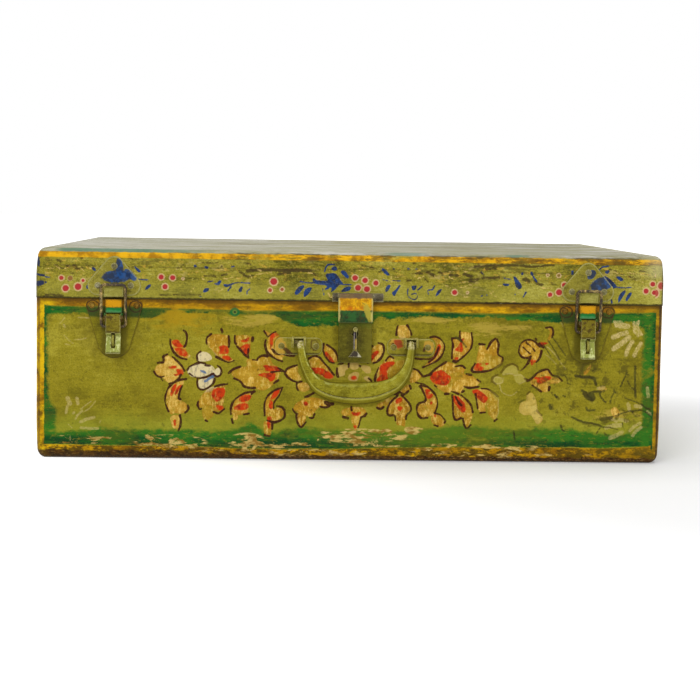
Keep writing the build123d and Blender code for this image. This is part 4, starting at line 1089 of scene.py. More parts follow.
def folded_profile(wall, half_depth, flat_z, fold, flat_places, fold_rows, back_rows):
    """The line of a folded sheet from the front's open edge, round one fold, over the flat, round
    the other fold and along the back: straight runs joined by quarter circles of the fold radius.
    Returns y, z and the outward normal of each row."""
    way = 1.0 if flat_z > wall[0] else -1.0
    turn = np.linspace(0, math.pi / 2, fold_rows + 2)[1:-1]
    inner = half_depth - fold
    back = np.linspace(flat_z - way * fold, wall[0], back_rows + 1)
    flat = np.asarray(flat_places) * inner
    y = np.concatenate([np.full(len(wall), -half_depth), -inner - fold * np.cos(turn), flat,
                        inner + fold * np.sin(turn), np.full(len(back), half_depth)])
    z = np.concatenate([wall, flat_z - way * fold * (1 - np.sin(turn)), np.full(len(flat), flat_z),
                        flat_z - way * fold * (1 - np.cos(turn)), back])
    ny = np.concatenate([np.full(len(wall), -1.0), -np.cos(turn), np.zeros(len(flat)),
                         np.sin(turn), np.ones(len(back))])
    nz = way * np.concatenate([np.zeros(len(wall)), np.sin(turn), np.ones(len(flat)),
                               np.cos(turn), np.zeros(len(back))])
    return y, z, ny, nz


def ribbon(outer, inner, picks):
    """Triangles between a fine edge and a coarse one that shares every picked point: each fine
    step joins the coarse point behind it, and each coarse step joins the fine point at its end."""
    behind = np.searchsorted(picks, np.arange(len(outer) - 1), side="right") - 1
    fine = np.stack([outer[1:], outer[:-1], inner[behind]], 1)
    coarse = np.stack([inner[:-1], inner[1:], outer[picks[1:]]], 1)
    return np.vstack([fine, coarse])


def shell_faces(rows, columns, row_picks, column_picks):
    """Quads of a fine outer grid and a coarse inner grid, and the ribbons that close the four edges."""
    outer = np.arange(rows * columns).reshape(rows, columns)
    inner = rows * columns + np.arange(len(row_picks) * len(column_picks))
    inner = inner.reshape(len(row_picks), len(column_picks))

    def quads(g):
        corners = [g[:-1, :-1], g[:-1, 1:], g[1:, 1:], g[1:, :-1]]
        return np.stack(corners, -1).reshape(-1, 4)

    triangles = [
        ribbon(outer[0], inner[0], column_picks),
        ribbon(outer[-1], inner[-1], column_picks)[:, ::-1],
        ribbon(outer[:, 0], inner[:, 0], row_picks)[:, ::-1],
        ribbon(outer[:, -1], inner[:, -1], row_picks),
    ]
    return quads(outer), quads(inner)[:, ::-1], np.vstack(triangles)


def mesh_piece(name, points, faces, body, fields=None, crease=35.0):
    """A piece from points in millimetres and arrays of polygons with the same number of corners."""
    mesh = bpy.data.meshes.new(name)
    corners = np.concatenate([block.ravel() for block in faces]).astype(np.int32)
    totals = np.concatenate([np.full(len(block), block.shape[1]) for block in faces]).astype(np.int32)
    starts = np.concatenate([[0], np.cumsum(totals)[:-1]]).astype(np.int32)
    mesh.vertices.add(len(points))
    mesh.vertices.foreach_set("co", (points * MM).astype(np.float32).ravel())
    mesh.loops.add(len(corners))
    mesh.loops.foreach_set("vertex_index", corners)
    mesh.polygons.add(len(totals))
    mesh.polygons.foreach_set("loop_start", starts)
    mesh.polygons.foreach_set("use_smooth", np.ones(len(totals), bool))
    mesh.update(calc_edges=True)
    mesh.validate()
    for field, values in (fields or {}).items():
        layer = mesh.attributes.new(field, "FLOAT", "POINT")
        layer.data.foreach_set("value", values.astype(np.float32))
    mesh.set_sharp_from_angle(angle=math.radians(crease))
    piece = bpy.data.objects.new(name, mesh)
    bpy.context.scene.collection.objects.link(piece)
    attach(piece, body)
    return piece


def folded_skin(name, body, node, profile, across, canvas, dents, flip):
    """The skin of a folded sheet: the profile carried along the length, pushed along its normals by
    the dents, with a coarser copy one sheet thickness inside it and closed edges."""
    y, z, ny, nz = profile
    rows, columns = len(y), len(across)
    x = np.broadcast_to(across, (rows, columns))
    push = dents(x, np.broadcast_to(y[:, None], x.shape), np.broadcast_to(z[:, None], x.shape))
    outer = np.stack([x, y[:, None] + ny[:, None] * push, z[:, None] + nz[:, None] * push], -1)
    curved = np.flatnonzero(np.abs(ny * nz) > 1e-6)
    row_picks = np.unique(np.concatenate([np.arange(0, rows, INNER_ROW_SPAN), curved - 1, curved,
                                          curved + 1, [rows - 1]]))
    column_picks = np.unique(np.append(np.arange(0, columns - 1, INNER_COLUMN_SPAN), columns - 1))
    lifted = outer.copy()
    lifted[..., 1] -= ny[:, None] * SHEET
    lifted[..., 2] -= nz[:, None] * SHEET
    inner = lifted[np.ix_(row_picks, column_picks)]
    points = np.vstack([outer.reshape(-1, 3), inner.reshape(-1, 3)])
    faces = shell_faces(rows, columns, row_picks, column_picks)
    if flip:
        faces = [block[:, ::-1] for block in faces]
    fields = {}
    for field, values in canvas.fields.items():
        full = np.full((rows, columns), values.min())
        full[: len(values)] = values
        fields[field] = np.concatenate([full.ravel(),
                                        np.full(inner.shape[0] * inner.shape[1], values.min())])
    inner_mark = np.concatenate([np.zeros(rows * columns), np.ones(inner.shape[0] * inner.shape[1])])
    fields["inner_side"] = inner_mark
    piece = mesh_piece(name, points, faces, body, fields)
    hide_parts(node)
    return piece


def end_panel(name, body, node, side, half_depth, fold, open_z, flat_z, lean):
    """The pressed end of a folded sheet: a box corner of quarter-round edges that meets the sheet at
    the seam. With a across from front to back and b from the open edge to the flat, each point is a
    core point plus the fold radius along the unit normal (-cos a cos b, sin a cos b, sin b); the
    panel swells by lean(height) between the edges."""
    way = 1.0 if flat_z > open_z else -1.0
    quarter = np.linspace(0, math.pi / 2, CORNER_POINTS)
    inner = half_depth - fold
    flat = np.linspace(-inner, inner, END_COLUMNS)
    a = np.concatenate([quarter - math.pi / 2, np.zeros(len(flat) - 2), quarter])
    core_y = np.concatenate([np.full(CORNER_POINTS, -inner), flat[1:-1], np.full(CORNER_POINTS, inner)])
    wall = np.linspace(open_z, flat_z - way * fold, END_ROWS)
    b = np.concatenate([np.zeros(len(wall)), quarter[1:]])
    core_z = np.concatenate([wall, np.full(CORNER_POINTS - 1, wall[-1])])
    nx = np.cos(a)[:, None] * np.cos(b)[None, :]
    ny = np.sin(a)[:, None] * np.cos(b)[None, :]
    nz = way * np.broadcast_to(np.sin(b)[None, :], nx.shape)
    reach = lean(core_y[:, None], core_z[None, :])
    x = SEAM_X + reach * nx
    outer = np.stack([side * x, core_y[:, None] + fold * ny, core_z[None, :] + fold * nz], -1)
    inward = np.stack([side * nx, ny, nz], -1) * SHEET
    rows, columns = nx.shape
    row_picks, column_picks = np.arange(rows), np.arange(columns)
    points = np.vstack([outer.reshape(-1, 3), (outer - inward).reshape(-1, 3)])
    faces = shell_faces(rows, columns, row_picks, column_picks)
    if side * way > 0:
        faces = [block[:, ::-1] for block in faces]
    inner_mark = np.repeat([0.0, 1.0], rows * columns)
    piece = mesh_piece(name, points, faces, body, {"inner_side": inner_mark})
    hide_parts(node)
    return piece


def handle_skin():
    """The drop handle: an oval section carried along the line between its outer and inner edges,
    half as wide as the edges stand apart, with a shallow groove pressed along the grip."""
    outer, inner = (np.array(rows, float) for rows in (HANDLE_OUTER_EDGE, HANDLE_INNER_EDGE))
    line_outer, line_inner = (flowing_line(edge, False, HANDLE_STEPS) for edge in (outer, inner))
    middle, half = (line_outer + line_inner) / 2, (line_outer - line_inner) / 2
    turn = np.linspace(0, 2 * math.pi, HANDLE_SIDES, endpoint=False)
    rows, columns = len(middle), len(turn)
    travel = np.concatenate([[0], np.cumsum(np.hypot(*np.diff(middle, axis=0).T))])
    from_end = np.minimum(travel, travel[-1] - travel)
    grip = np.clip((from_end - GRIP_FROM_EYE) / GRIP_START, 0, 1)
    taper = np.sqrt(np.clip(1 - (1 - np.clip(from_end / HANDLE_END_ROUNDING, 0, 1)) ** 2, 0.02, 1))
    across, front = np.cos(turn)[None, :], -np.sin(turn)[None, :]
    depth = np.sign(front) * np.abs(front) ** 0.75
    groove = GROOVE_DEPTH * np.exp(-((across - GROOVE_ACROSS) / 0.09) ** 2) * (front < 0) * grip[:, None]
    lip = LIP_HEIGHT * np.exp(-((across - LIP_ACROSS) / 0.12) ** 2) * (front < 0)
    y = HANDLE_Y + (HANDLE_HALF_THICKNESS * depth + groove - lip) * taper[:, None]
    x = middle[:, :1] + half[:, :1] * across * taper[:, None]
    z = middle[:, 1:] + half[:, 1:] * across * taper[:, None]
    points = np.stack([x, np.clip(y, HANDLE_FRONT_Y, HANDLE_BACK_Y), z], -1).reshape(-1, 3)
    index = np.arange(rows * columns).reshape(rows, columns)
    after = np.roll(index, -1, 1)
    quads = np.stack([index[:-1], index[1:], after[1:], after[:-1]], -1).reshape(-1, 4)
    caps = np.vstack([index[0], index[-1][::-1]])
    fields = {"across": np.broadcast_to(np.where(front < 0.2, across, 0.0), (rows, columns)).ravel(),
              "grip": np.repeat(grip, columns)}
    piece = mesh_piece("handle_skin", points, [quads, caps], "handle", fields)
    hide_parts("handle")
    return piece


def hollows(x, up, table):
    """A sum of soft hollows and swellings: each row of the table gives a middle, two half-widths
    and a height, and adds the height times the bell curve of the distance over the half-widths."""
    total = np.zeros(np.broadcast(x, up).shape)
    for middle_x, middle_up, half_x, half_up, height in table:
        total += height * np.exp(-((x - middle_x) / half_x) ** 2 - ((up - middle_up) / half_up) ** 2)
    return total


# ---------------------------------------------------------------- node trees


def pigment(red, green, blue):
    """A paint colour given as display bytes, turned into linear light."""
    parts = np.array([red, green, blue]) / 255.0
    linear = np.where(parts <= 0.04045, parts / 12.92, ((parts + 0.055) / 1.055) ** 2.4)
    return (*(float(part) for part in linear), 1.0)


class Wiring:
    """Short calls that add nodes to one node tree and join their sockets."""

    def __init__(self, tree):
        self.tree = tree

    def node(self, kind, sockets=None, **settings):
        made = self.tree.nodes.new("ShaderNode" + kind)
        for name, value in settings.items():
            setattr(made, name, value)
        for key, value in (sockets or {}).items():
            self.feed(made.inputs[key], value)
        return made

    def feed(self, socket, value):
        if isinstance(value, bpy.types.NodeSocket):
            self.tree.links.new(value, socket)
        else:
            socket.default_value = value

    def math(self, operation, first, second=0.0, third=0.0, clamp=False):
        sockets = {0: first, 1: second, 2: third}
        return self.node("Math", sockets, operation=operation, use_clamp=clamp).outputs[0]

    def add(self, first, *others):
        for other in others:
            first = self.math("ADD", first, other)
        return first

    def take(self, first, second):
        return self.math("SUBTRACT", first, second)

    def times(self, first, *others):
        for other in others:
            first = self.math("MULTIPLY", first, other)
        return first

    def highest(self, first, *others):
        for other in others:
            first = self.math("MAXIMUM", first, other)
        return first

    def lowest(self, first, *others):
        for other in others:
            first = self.math("MINIMUM", first, other)
        return first

    def size(self, value):
        return self.math("ABSOLUTE", value)

    def rise(self, value, low, high):
        """0 below low, 1 above high, with a soft step between; high may be the lower one."""
        sockets = {"Value": value, "From Min": low, "From Max": high}
        return self.node("MapRange", sockets, interpolation_type="SMOOTHSTEP").outputs["Result"]

    def band(self, value, low, high, soft):
        """1 between low and high, with soft ends."""
        up = self.rise(value, low - soft, low + soft)
        return self.times(up, self.rise(value, high + soft, high - soft))

    def layer(self, share, under, over, blend="MIX"):
        sockets = {0: share, 6: under, 7: over}
        return self.node("Mix", sockets, data_type="RGBA", blend_type=blend).outputs[2]

    def weigh(self, share, under, over):
        return self.node("Mix", {0: share, 2: under, 3: over}, data_type="FLOAT").outputs[0]

    def place(self):
        """The point on the object in millimetres."""
        point = self.node("TexCoord").outputs["Object"]
        return self.node("VectorMath", {0: point, "Scale": 1000.0}, operation="SCALE").outputs[0]

    def stretch(self, place, x, y, z):
        return self.node("VectorMath", {0: place, 1: (x, y, z)}, operation="MULTIPLY").outputs[0]

    def shift(self, place, x, y, z):
        return self.node("VectorMath", {0: place, 1: (x, y, z)}, operation="ADD").outputs[0]

    def noise(self, place, scale, detail=4.0, roughness=0.6, distortion=0.0, shift=None, stretch=None):
        """Noise of about 0.5 at the place, which may first be shifted and then stretched."""
        if shift:
            place = self.shift(place, *shift)
        if stretch:
            place = self.stretch(place, *stretch)
        sockets = {"Vector": place, "Scale": scale, "Detail": detail, "Roughness": roughness,
                   "Distortion": distortion}
        return self.node("TexNoise", sockets).outputs[0]

    def spots(self, low, high, place, scale, *noise, **moves):
        """Patches of noise: 0 where it is below low, 1 where it is above high."""
        return self.rise(self.noise(place, scale, *noise, **moves), low, high)

    def ripple(self, reach, place, scale, *noise, **moves):
        """Noise that wanders about zero, reach times as far as it does about its middle."""
        return self.times(self.take(self.noise(place, scale, *noise, **moves), 0.5), reach)

    def tint(self, under, colour, *shares):
        """A plain colour, in display bytes, over another, as thick as all the shares multiplied."""
        return self.layer(self.times(*shares), under, pigment(*colour))

    def axes(self, place):
        return self.node("SeparateXYZ", {0: place}).outputs

    def field(self, name):
        """A float stored on the mesh."""
        return self.node("Attribute", attribute_name=name).outputs["Fac"]

    def blot(self, place, middle, halves, turn=0.0):
        """A field that is 1 in the middle of a leaning oval in the XZ plane and 0 at its edge."""
        x, _, z = self.axes(place)
        across, up = self.take(x, middle[0]), self.take(z, middle[1])
        cosine, sine = math.cos(turn), math.sin(turn)
        along = self.add(self.times(across, cosine / halves[0]), self.times(up, sine / halves[0]))
        over = self.add(self.times(across, -sine / halves[1]), self.times(up, cosine / halves[1]))
        reach = self.math("SQRT", self.add(self.times(along, along), self.times(over, over)))
        return self.take(1.0, reach)


def build_group(name, takes, gives, fill):
    """A shader node group with named inputs and outputs; fill wires it and returns the outputs."""
    tree = bpy.data.node_groups.new(name, "ShaderNodeTree")
    kinds = {"vector": "NodeSocketVector", "colour": "NodeSocketColor", "number": "NodeSocketFloat"}
    for socket_name, kind, default in takes:
        socket = tree.interface.new_socket(name=socket_name, in_out="INPUT", socket_type=kinds[kind])
        if default is not None:
            socket.default_value = default
    for socket_name, kind in gives:
        tree.interface.new_socket(name=socket_name, in_out="OUTPUT", socket_type=kinds[kind])
    entry, end = tree.nodes.new("NodeGroupInput"), tree.nodes.new("NodeGroupOutput")
    wiring = Wiring(tree)
    for socket, value in zip(end.inputs, fill(wiring, *list(entry.outputs)[: len(takes)])):
        wiring.feed(socket, value)
    return tree


def use_group(wiring, group_name, **values):
    """Places a group and gives its inputs by name, with _ for a space; returns its outputs."""
    made = wiring.tree.nodes.new("ShaderNodeGroup")
    made.node_tree = bpy.data.node_groups[group_name]
    for name, value in values.items():
        wiring.feed(made.inputs[name.replace("_", " ").capitalize()], value)
    return made.outputs


def fill_old_paint(w, place, colour, dark, light, mottle):
    """Brushed enamel gone uneven: broad cloudy patches, mid-sized blotches, level brush streaks and
    fine grain, each noise pushed apart about its middle and laid between the dark and the light."""
    broad = w.noise(place, 0.014, 4.0, 0.55)
    middle = w.noise(place, 0.07, 7.0, 0.7, stretch=(1, 1, 1.35))
    streaks = w.noise(place, 0.42, 5.0, 0.65, stretch=(0.16, 0.5, 1.3))
    fine = w.noise(place, 0.75, 4.0, 0.75)
    clouds = w.add(w.times(broad, 0.34), w.times(middle, 0.3))
    sum_of_all = w.add(clouds, w.add(w.times(streaks, 0.18), w.times(fine, 0.18)))
    lighter = w.times(w.rise(sum_of_all, 0.5, 0.6), mottle)
    darker = w.times(w.rise(sum_of_all, 0.5, 0.4), mottle)
    painted = w.layer(lighter, w.layer(darker, colour, dark), light)
    grain = w.spots(0.36, 0.56, place, 0.85, 3.0, 0.75, shift=(31, 7, 3))
    painted = w.layer(w.times(mottle, 0.55), painted, w.layer(grain, dark, painted))
    grit = w.spots(0.54, 0.64, place, 0.4, 6.0, 0.8, shift=(3, 17, 13))
    painted = w.layer(w.times(mottle, w.times(grit, 0.5)), painted, light)
    pits = w.spots(0.46, 0.36, place, 0.3, 7.0, 0.82, shift=(23, 2, 53))
    painted = w.layer(w.times(mottle, w.times(pits, 0.6)), painted, dark)
    roughness = w.add(0.46, w.times(middle, 0.22))
    height = w.add(w.times(middle, 0.35), w.add(w.times(streaks, 0.2), w.times(fine, 0.25)))
    return painted, roughness, height


def fill_chips(w, place, share, scale, edge):
    """Flaked places: noise with ragged edges, kept where it is above one less the share."""
    ragged = w.noise(place, scale, 9.0, 0.66, 0.35)
    level = w.take(0.74, w.times(share, 0.42))
    return (w.rise(w.take(ragged, level), w.times(edge, -1.0), edge),)


def fill_scratches(w, place, share):
    """Thin wandering scratches: places where a stretched noise passes through its middle value,
    broken up by a second noise."""
    long_noise = w.noise(place, 1.0, 2.5, 0.5, 1.2, stretch=(0.035, 0.06, 0.09))
    line = w.rise(w.size(w.take(long_noise, 0.5)), 0.004, 0.0)
    broken = w.spots(w.take(0.72, w.times(share, 0.4)), 0.8, place, 0.05, 3.0, shift=(11, 5, 9))
    return (w.times(line, broken),)


def fill_specks(w, place, share):
    """Small dark specks and pits where dirt and rust have come through: fine noise over a level that
    falls where a coarse noise gathers them."""
    pits = w.noise(place, 0.5, 6.0, 0.72)
    gather = w.noise(place, 0.028, 5.0, 0.65, shift=(3, 13, 23))
    level = w.take(0.82, w.times(gather, share, 0.34))
    return (w.times(w.rise(pits, level, w.add(level, 0.09)), 0.9),)


def fill_edge_wear(w, place, radius, share):
    """Where the rounded normal leaves the true one the paint has rubbed off, raggedly."""
    rounded = w.node("Bevel", {"Radius": radius}, samples=4).outputs[0]
    true = w.node("NewGeometry").outputs["Normal"]
    facing = w.node("VectorMath", {0: rounded, 1: true}, operation="DOT_PRODUCT").outputs["Value"]
    bend = w.rise(w.take(1.0, facing), 0.004, 0.12)
    ragged = w.noise(place, 0.5, 5.0, 0.7)
    return (w.rise(w.add(bend, w.take(ragged, 1.0)), w.take(0.3, share), w.take(0.45, share)),)


def make_groups():
    """The effects that several finishes share."""
    build_group("Old paint", [("Place", "vector", None), ("Colour", "colour", None),
                              ("Dark", "colour", None), ("Light", "colour", None),
                              ("Mottle", "number", 0.8)],
                [("Colour", "colour"), ("Roughness", "number"), ("Height", "number")], fill_old_paint)
    build_group("Chips", [("Place", "vector", None), ("Share", "number", 0.3), ("Scale", "number", 0.08),
                          ("Edge", "number", 0.02)], [("Mask", "number")], fill_chips)
    build_group("Scratches", [("Place", "vector", None), ("Share", "number", 0.5)], [("Mask", "number")],
                fill_scratches)
    build_group("Specks", [("Place", "vector", None), ("Share", "number", 0.5)], [("Mask", "number")],
                fill_specks)
    build_group("Edge wear", [("Place", "vector", None), ("Radius", "number", 0.0008),
                              ("Share", "number", 0.1)], [("Mask", "number")], fill_edge_wear)


def old_paint(w, place, colour, dark, light, mottle):
    """Uneven enamel from three colours in display bytes: colour, roughness and height."""
    return use_group(w, "Old paint", place=place, colour=pigment(*colour), dark=pigment(*dark),
                     light=pigment(*light), mottle=mottle)


def chips_at(w, place, share, scale, edge):
    """The mask of flaked places."""
    return use_group(w, "Chips", place=place, share=share, scale=scale, edge=edge)[0]


def specks_at(w, place, share):
    """The mask of small dark specks."""
    return use_group(w, "Specks", place=place, share=share)[0]


def scratches_at(w, place, share):
    """The mask of thin scratches."""
    return use_group(w, "Scratches", place=place, share=share)[0]


def make_finish(name, paint, sheen=0.1):
    """A material: paint wires its colour and returns colour, roughness, height and metal share."""
    material = bpy.data.materials.new(name)
    material.use_nodes = True
    material.node_tree.nodes.clear()
    w = Wiring(material.node_tree)
    place = w.place()
    colour, roughness, height, metal, bump_depth = paint(w, place)
    bump = w.node("Bump", {"Height": height, "Distance": bump_depth, "Strength": 0.6})
    shader = w.node("BsdfPrincipled", {"Base Color": colour, "Roughness": roughness, "Metallic": metal,
                                       "Normal": bump.outputs[0]})
    shader.inputs["Specular IOR Level"].default_value = sheen
    output = w.node("OutputMaterial")
    w.tree.links.new(shader.outputs[0], output.inputs["Surface"])
    return material


def dress(nodes, material):
    """Gives a finish to CAD nodes by their material slots."""
    for node in nodes:
        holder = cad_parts[node]
        if not holder.material_slots:
            holder.data.materials.append(material)
        for slot in holder.material_slots:
            slot.material = material


# ---------------------------------------------------------------- settings


class TrunkSkinSettings(bpy.types.PropertyGroup):
    """Sizes of the sheet-metal skins."""

    motif_cell: FloatProperty(name="Motif cell",
                              description="Grid spacing where the flowers are painted, in millimetres",
                              default=0.8, min=0.5, max=3.0)
    plain_cell: FloatProperty(name="Plain cell",
                              description="Grid spacing beside the flowers, in millimetres", default=2.4,
                              min=1.0, max=10.0)
    dent_depth: FloatProperty(name="Dent depth",
                              description="How strongly the sheets are dented, as a share", default=1.0,
                              min=0.0, max=1.5)


class TrunkPaintSettings(bpy.types.PropertyGroup):
    """Paint colours, in linear light."""

    olive: FloatVectorProperty(name="Olive", description="Main paint of the trunk", subtype="COLOR", size=4,
                               default=pigment(143, 131, 24))
    gilding: FloatVectorProperty(name="Gilding", description="Border and petals", subtype="COLOR", size=4,
                                 default=pigment(188, 140, 4))
    emerald: FloatVectorProperty(name="Emerald", description="Band inside the border", subtype="COLOR",
                                 size=4, default=pigment(14, 88, 26))
    vermilion: FloatVectorProperty(name="Vermilion", description="Shading in the petals", subtype="COLOR",
                                   size=4, default=pigment(190, 50, 4))
    umber: FloatVectorProperty(name="Umber", description="Brush outlines and grime", subtype="COLOR", size=4,
                               default=pigment(54, 20, 6))
    cream: FloatVectorProperty(name="Cream", description="Pale dabs, rings and worn patches",
                               subtype="COLOR", size=4, default=pigment(206, 184, 120))
    ultramarine: FloatVectorProperty(name="Ultramarine", description="Leaves along the lid", subtype="COLOR",
                                     size=4, default=pigment(12, 56, 116))
    crimson: FloatVectorProperty(name="Crimson", description="Berries along the lid", subtype="COLOR",
                                 size=4, default=pigment(164, 26, 40))
    rust: FloatVectorProperty(name="Rust", description="Rust on bare edges", subtype="COLOR", size=4,
                              default=pigment(92, 56, 24))


class TrunkStageSettings(bpy.types.PropertyGroup):
    """Light and camera."""

    key_power: FloatProperty(name="Key light", description="Power of the large front light", default=29.0,
                             min=0.0, unit="POWER")
    fill_power: FloatProperty(name="Fill light", description="Power of the light on the right", default=12.0,
                              min=0.0, unit="POWER")
    top_power: FloatProperty(name="Top light", description="Power of the light overhead", default=20.0,
                             min=0.0, unit="POWER")
    sky: FloatProperty(name="Room light", description="Strength of the plain light all round", default=0.42,
                       min=0.0)
    lens: FloatProperty(name="Lens", description="Focal length of the camera in millimetres", default=74.35,
                        min=10.0)


def skin_settings():
    """The sizes of the skins, from the scene."""
    return bpy.context.scene.trunk_skin


def paints():
    """The paint colours, from the scene."""
    return bpy.context.scene.trunk_paint


# ---------------------------------------------------------------- finishes of the two skins and the ends


def frame_distance(w, place, half_length, half_depth):
    """How far a point on a wall is from the nearest upright edge."""
    x, y, _ = w.axes(place)
    return w.highest(w.take(half_length, w.size(x)), w.take(half_depth, w.size(y)))


def body_ground(w, place, traced):
    """Olive walls with the gilded border and the emerald band inside it, with grime and painted shade round
    the fittings and a painted shadow on the border under the lid. On the front the level bands come from
    their fields. Returns colour, roughness and height."""
    p = paints()
    x, y, z = w.axes(place)
    ragged = w.ripple(4.2, place, 0.6, 7.0, 0.75, stretch=(0.5, 0.5, 0.5))
    side = w.add(frame_distance(w, place, BODY_HALF_LENGTH, BODY_HALF_DEPTH), w.times(ragged, 0.6))
    tilt = w.times(x, 1.0 / BODY_HALF_LENGTH)
    olive = use_group(w, "Old paint", place=place, colour=tuple(p.olive), dark=pigment(100, 92, 8),
                      light=pigment(168, 156, 48), mottle=0.85)
    colour, roughness, height = olive[0], olive[1], olive[2]
    low_light = w.rise(w.add(z, w.times(ragged, 4.0)), 46.0, 26.0)
    colour = w.tint(colour, (142, 152, 42), low_light, 0.45)

    # Darker blots round the two latches and the lock: grime, and painted shade round the fittings.
    halo_edge = w.ripple(1.6, place, 0.09, 6.0, 0.7)
    for middle, halves in ((-LATCH_X, (40.0, 44.0)), (LATCH_X, (36.0, 42.0)), (LOCK_X, (30.0, 36.0))):
        halo = w.rise(w.add(w.blot(place, (middle, 104.0), halves), halo_edge), 0.1, 0.9)
        colour = w.tint(colour, (92, 80, 8), halo, 0.6)
    grime = w.spots(0.52, 0.64, place, 0.03, 7.0, 0.7, shift=(90, 0, 40), stretch=(0.7, 1, 1))
    colour = w.tint(colour, (104, 92, 10), grime, 0.4)
    high_dirt = w.times(w.spots(0.5, 0.62, place, 0.16, 7.0, 0.75, shift=(6, 0, 70)),
                        w.rise(z, 92.0, 112.0))
    colour = w.tint(colour, (84, 76, 10), high_dirt, 0.5)

    level = w.add(z, ragged)
    band = w.highest(w.lowest(w.rise(level, 25.6, 21.6), w.rise(level, 11.0, 13.0)),
                     w.lowest(w.rise(level, 117.6, 119.0), w.rise(level, 125.4, 124.6)))
    border = w.highest(w.rise(level, 12.8, 11.6), w.rise(level, 124.4, 125.4))
    if traced:
        on_front = w.rise(y, 3.0 - BODY_HALF_DEPTH, 1.0 - BODY_HALF_DEPTH)
        softness = w.weigh(w.rise(z, 60.0, 80.0), 2.6, 1.2)
        softness = w.weigh(w.rise(z, 18.0, 14.0), softness, 0.5)
        wander = w.ripple(11.0, place, 0.13, 7.0, 0.7, stretch=(1, 0.1, 1.4))
        wander = w.times(wander, w.rise(w.field("border"), -1.0, -REACH))
        drawn = w.math("DIVIDE", w.add(w.field("band"), w.add(wander, w.times(ragged, 0.7))), softness)
        band = w.weigh(on_front, band, w.rise(drawn, -0.7, 1.0))
        border = w.weigh(on_front, border, w.rise(w.add(w.field("border"), w.times(ragged, 0.35)), 0.0, 0.7))
        border = w.highest(border, w.rise(z, 9.4, 8.2))
    on_left = w.rise(x, -200.0, -240.0)
    reach = w.add(12.1, w.times(tilt, 3.3), w.times(w.rise(z, 52.0, 38.0), on_left, 6.5))
    fade = w.ripple(9.0, place, 0.12, 6.0, 0.72, shift=(0, 0, 44))
    side_band = w.rise(w.add(w.take(side, reach), fade), 2.2, -1.8)
    inside_frame = w.times(w.rise(z, 11.0, 13.0), w.rise(z, 126.0, 124.0))
    band = w.highest(band, w.times(side_band, inside_frame))
    worn = chips_at(w, w.stretch(place, 0.45, 1.0, 1.0), 0.2, 0.07, 0.06)
    band = w.times(band, w.take(1.0, w.times(worn, 0.7)))
    shade = w.noise(place, 0.12, 5.0, 0.65, shift=(5, 3, 8), stretch=(0.3, 1, 1))
    emerald = w.tint(tuple(p.emerald), (4, 66, 22), w.rise(shade, 0.42, 0.56))
    low_shade = w.rise(w.add(z, w.times(ragged, 2.0)), 19.0, 13.0)
    emerald = w.tint(emerald, (18, 52, 20), low_shade, 0.75)
    bright = w.spots(0.48, 0.62, place, 0.08, 6.0, 0.7, stretch=(0.2, 1, 1))
    top_part = w.highest(w.band(z, 19.0, 34.0, 2.0),
                         w.times(w.rise(x, 236.0, 240.0), w.rise(x, 247.5, 244.5)))
    emerald = w.tint(emerald, (62, 122, 20), w.highest(bright, top_part), 0.55)
    scuffs = w.spots(0.55, 0.61, place, 0.4, 8.0, 0.8, shift=(61, 0, 3), stretch=(0.4, 1, 1.2))
    emerald = w.tint(emerald, (146, 130, 34), scuffs, 0.6)
    tarnish = w.spots(0.5, 0.6, place, 0.05, 7.0, 0.72, shift=(2, 0, 31), stretch=(0.3, 1, 1))
    emerald = w.tint(emerald, (70, 78, 16), tarnish, 0.55)
    black = w.spots(0.44, 0.37, place, 0.3, 7.0, 0.8, shift=(21, 0, 93), stretch=(0.5, 1, 1))
    emerald = w.tint(emerald, (14, 40, 20), black, 0.7)
    colour = w.layer(band, colour, emerald)

    gilt = w.highest(border, w.rise(w.take(side, w.take(5.9, w.times(tilt, 0.4))), 0.35, -0.35))
    gold_shade = w.noise(place, 0.09, 5.0, 0.66, stretch=(0.4, 1, 1))
    gold = w.layer(w.rise(gold_shade, 0.38, 0.54), pigment(132, 92, 2), tuple(p.gilding))
    gold = w.tint(gold, (222, 172, 8), w.rise(gold_shade, 0.54, 0.66), 0.85)
    gilt_wear = chips_at(w, w.shift(place, 40.0, 0.0, 20.0), 0.32, 0.1, 0.06)
    gold = w.tint(gold, (98, 84, 16), gilt_wear, 0.55)
    sooty = w.noise(place, 0.2, 8.0, 0.76, shift=(17, 0, 41), stretch=(0.4, 1, 1))
    sooty = w.rise(w.add(sooty, w.times(w.rise(z, 18.0, 10.0), 0.035)), 0.48, 0.56)
    sooty = w.times(sooty, w.weigh(w.rise(z, 18.0, 10.0), 0.45, 0.9))
    gold = w.tint(gold, (72, 56, 8), sooty)
    on_right = w.rise(x, 150.0, 250.0)
    gold = w.tint(gold, (116, 98, 12), on_right, 0.35)
    fresh = w.times(w.rise(x, -236.0, -246.0), w.spots(0.42, 0.54, place, 0.05, 6.0, 0.7))
    gold = w.tint(gold, (228, 188, 12), fresh, 0.75)
    # Painted shadow of the lid: the gilded border is darkened just below the lid's foot.
    lid_shadow = w.rise(w.add(z, w.times(ragged, 0.6)), 126.6, 129.0)
    gold = w.tint(gold, (84, 56, 10), lid_shadow, 0.72)
    colour = w.layer(gilt, colour, gold)
    return colour, roughness, height


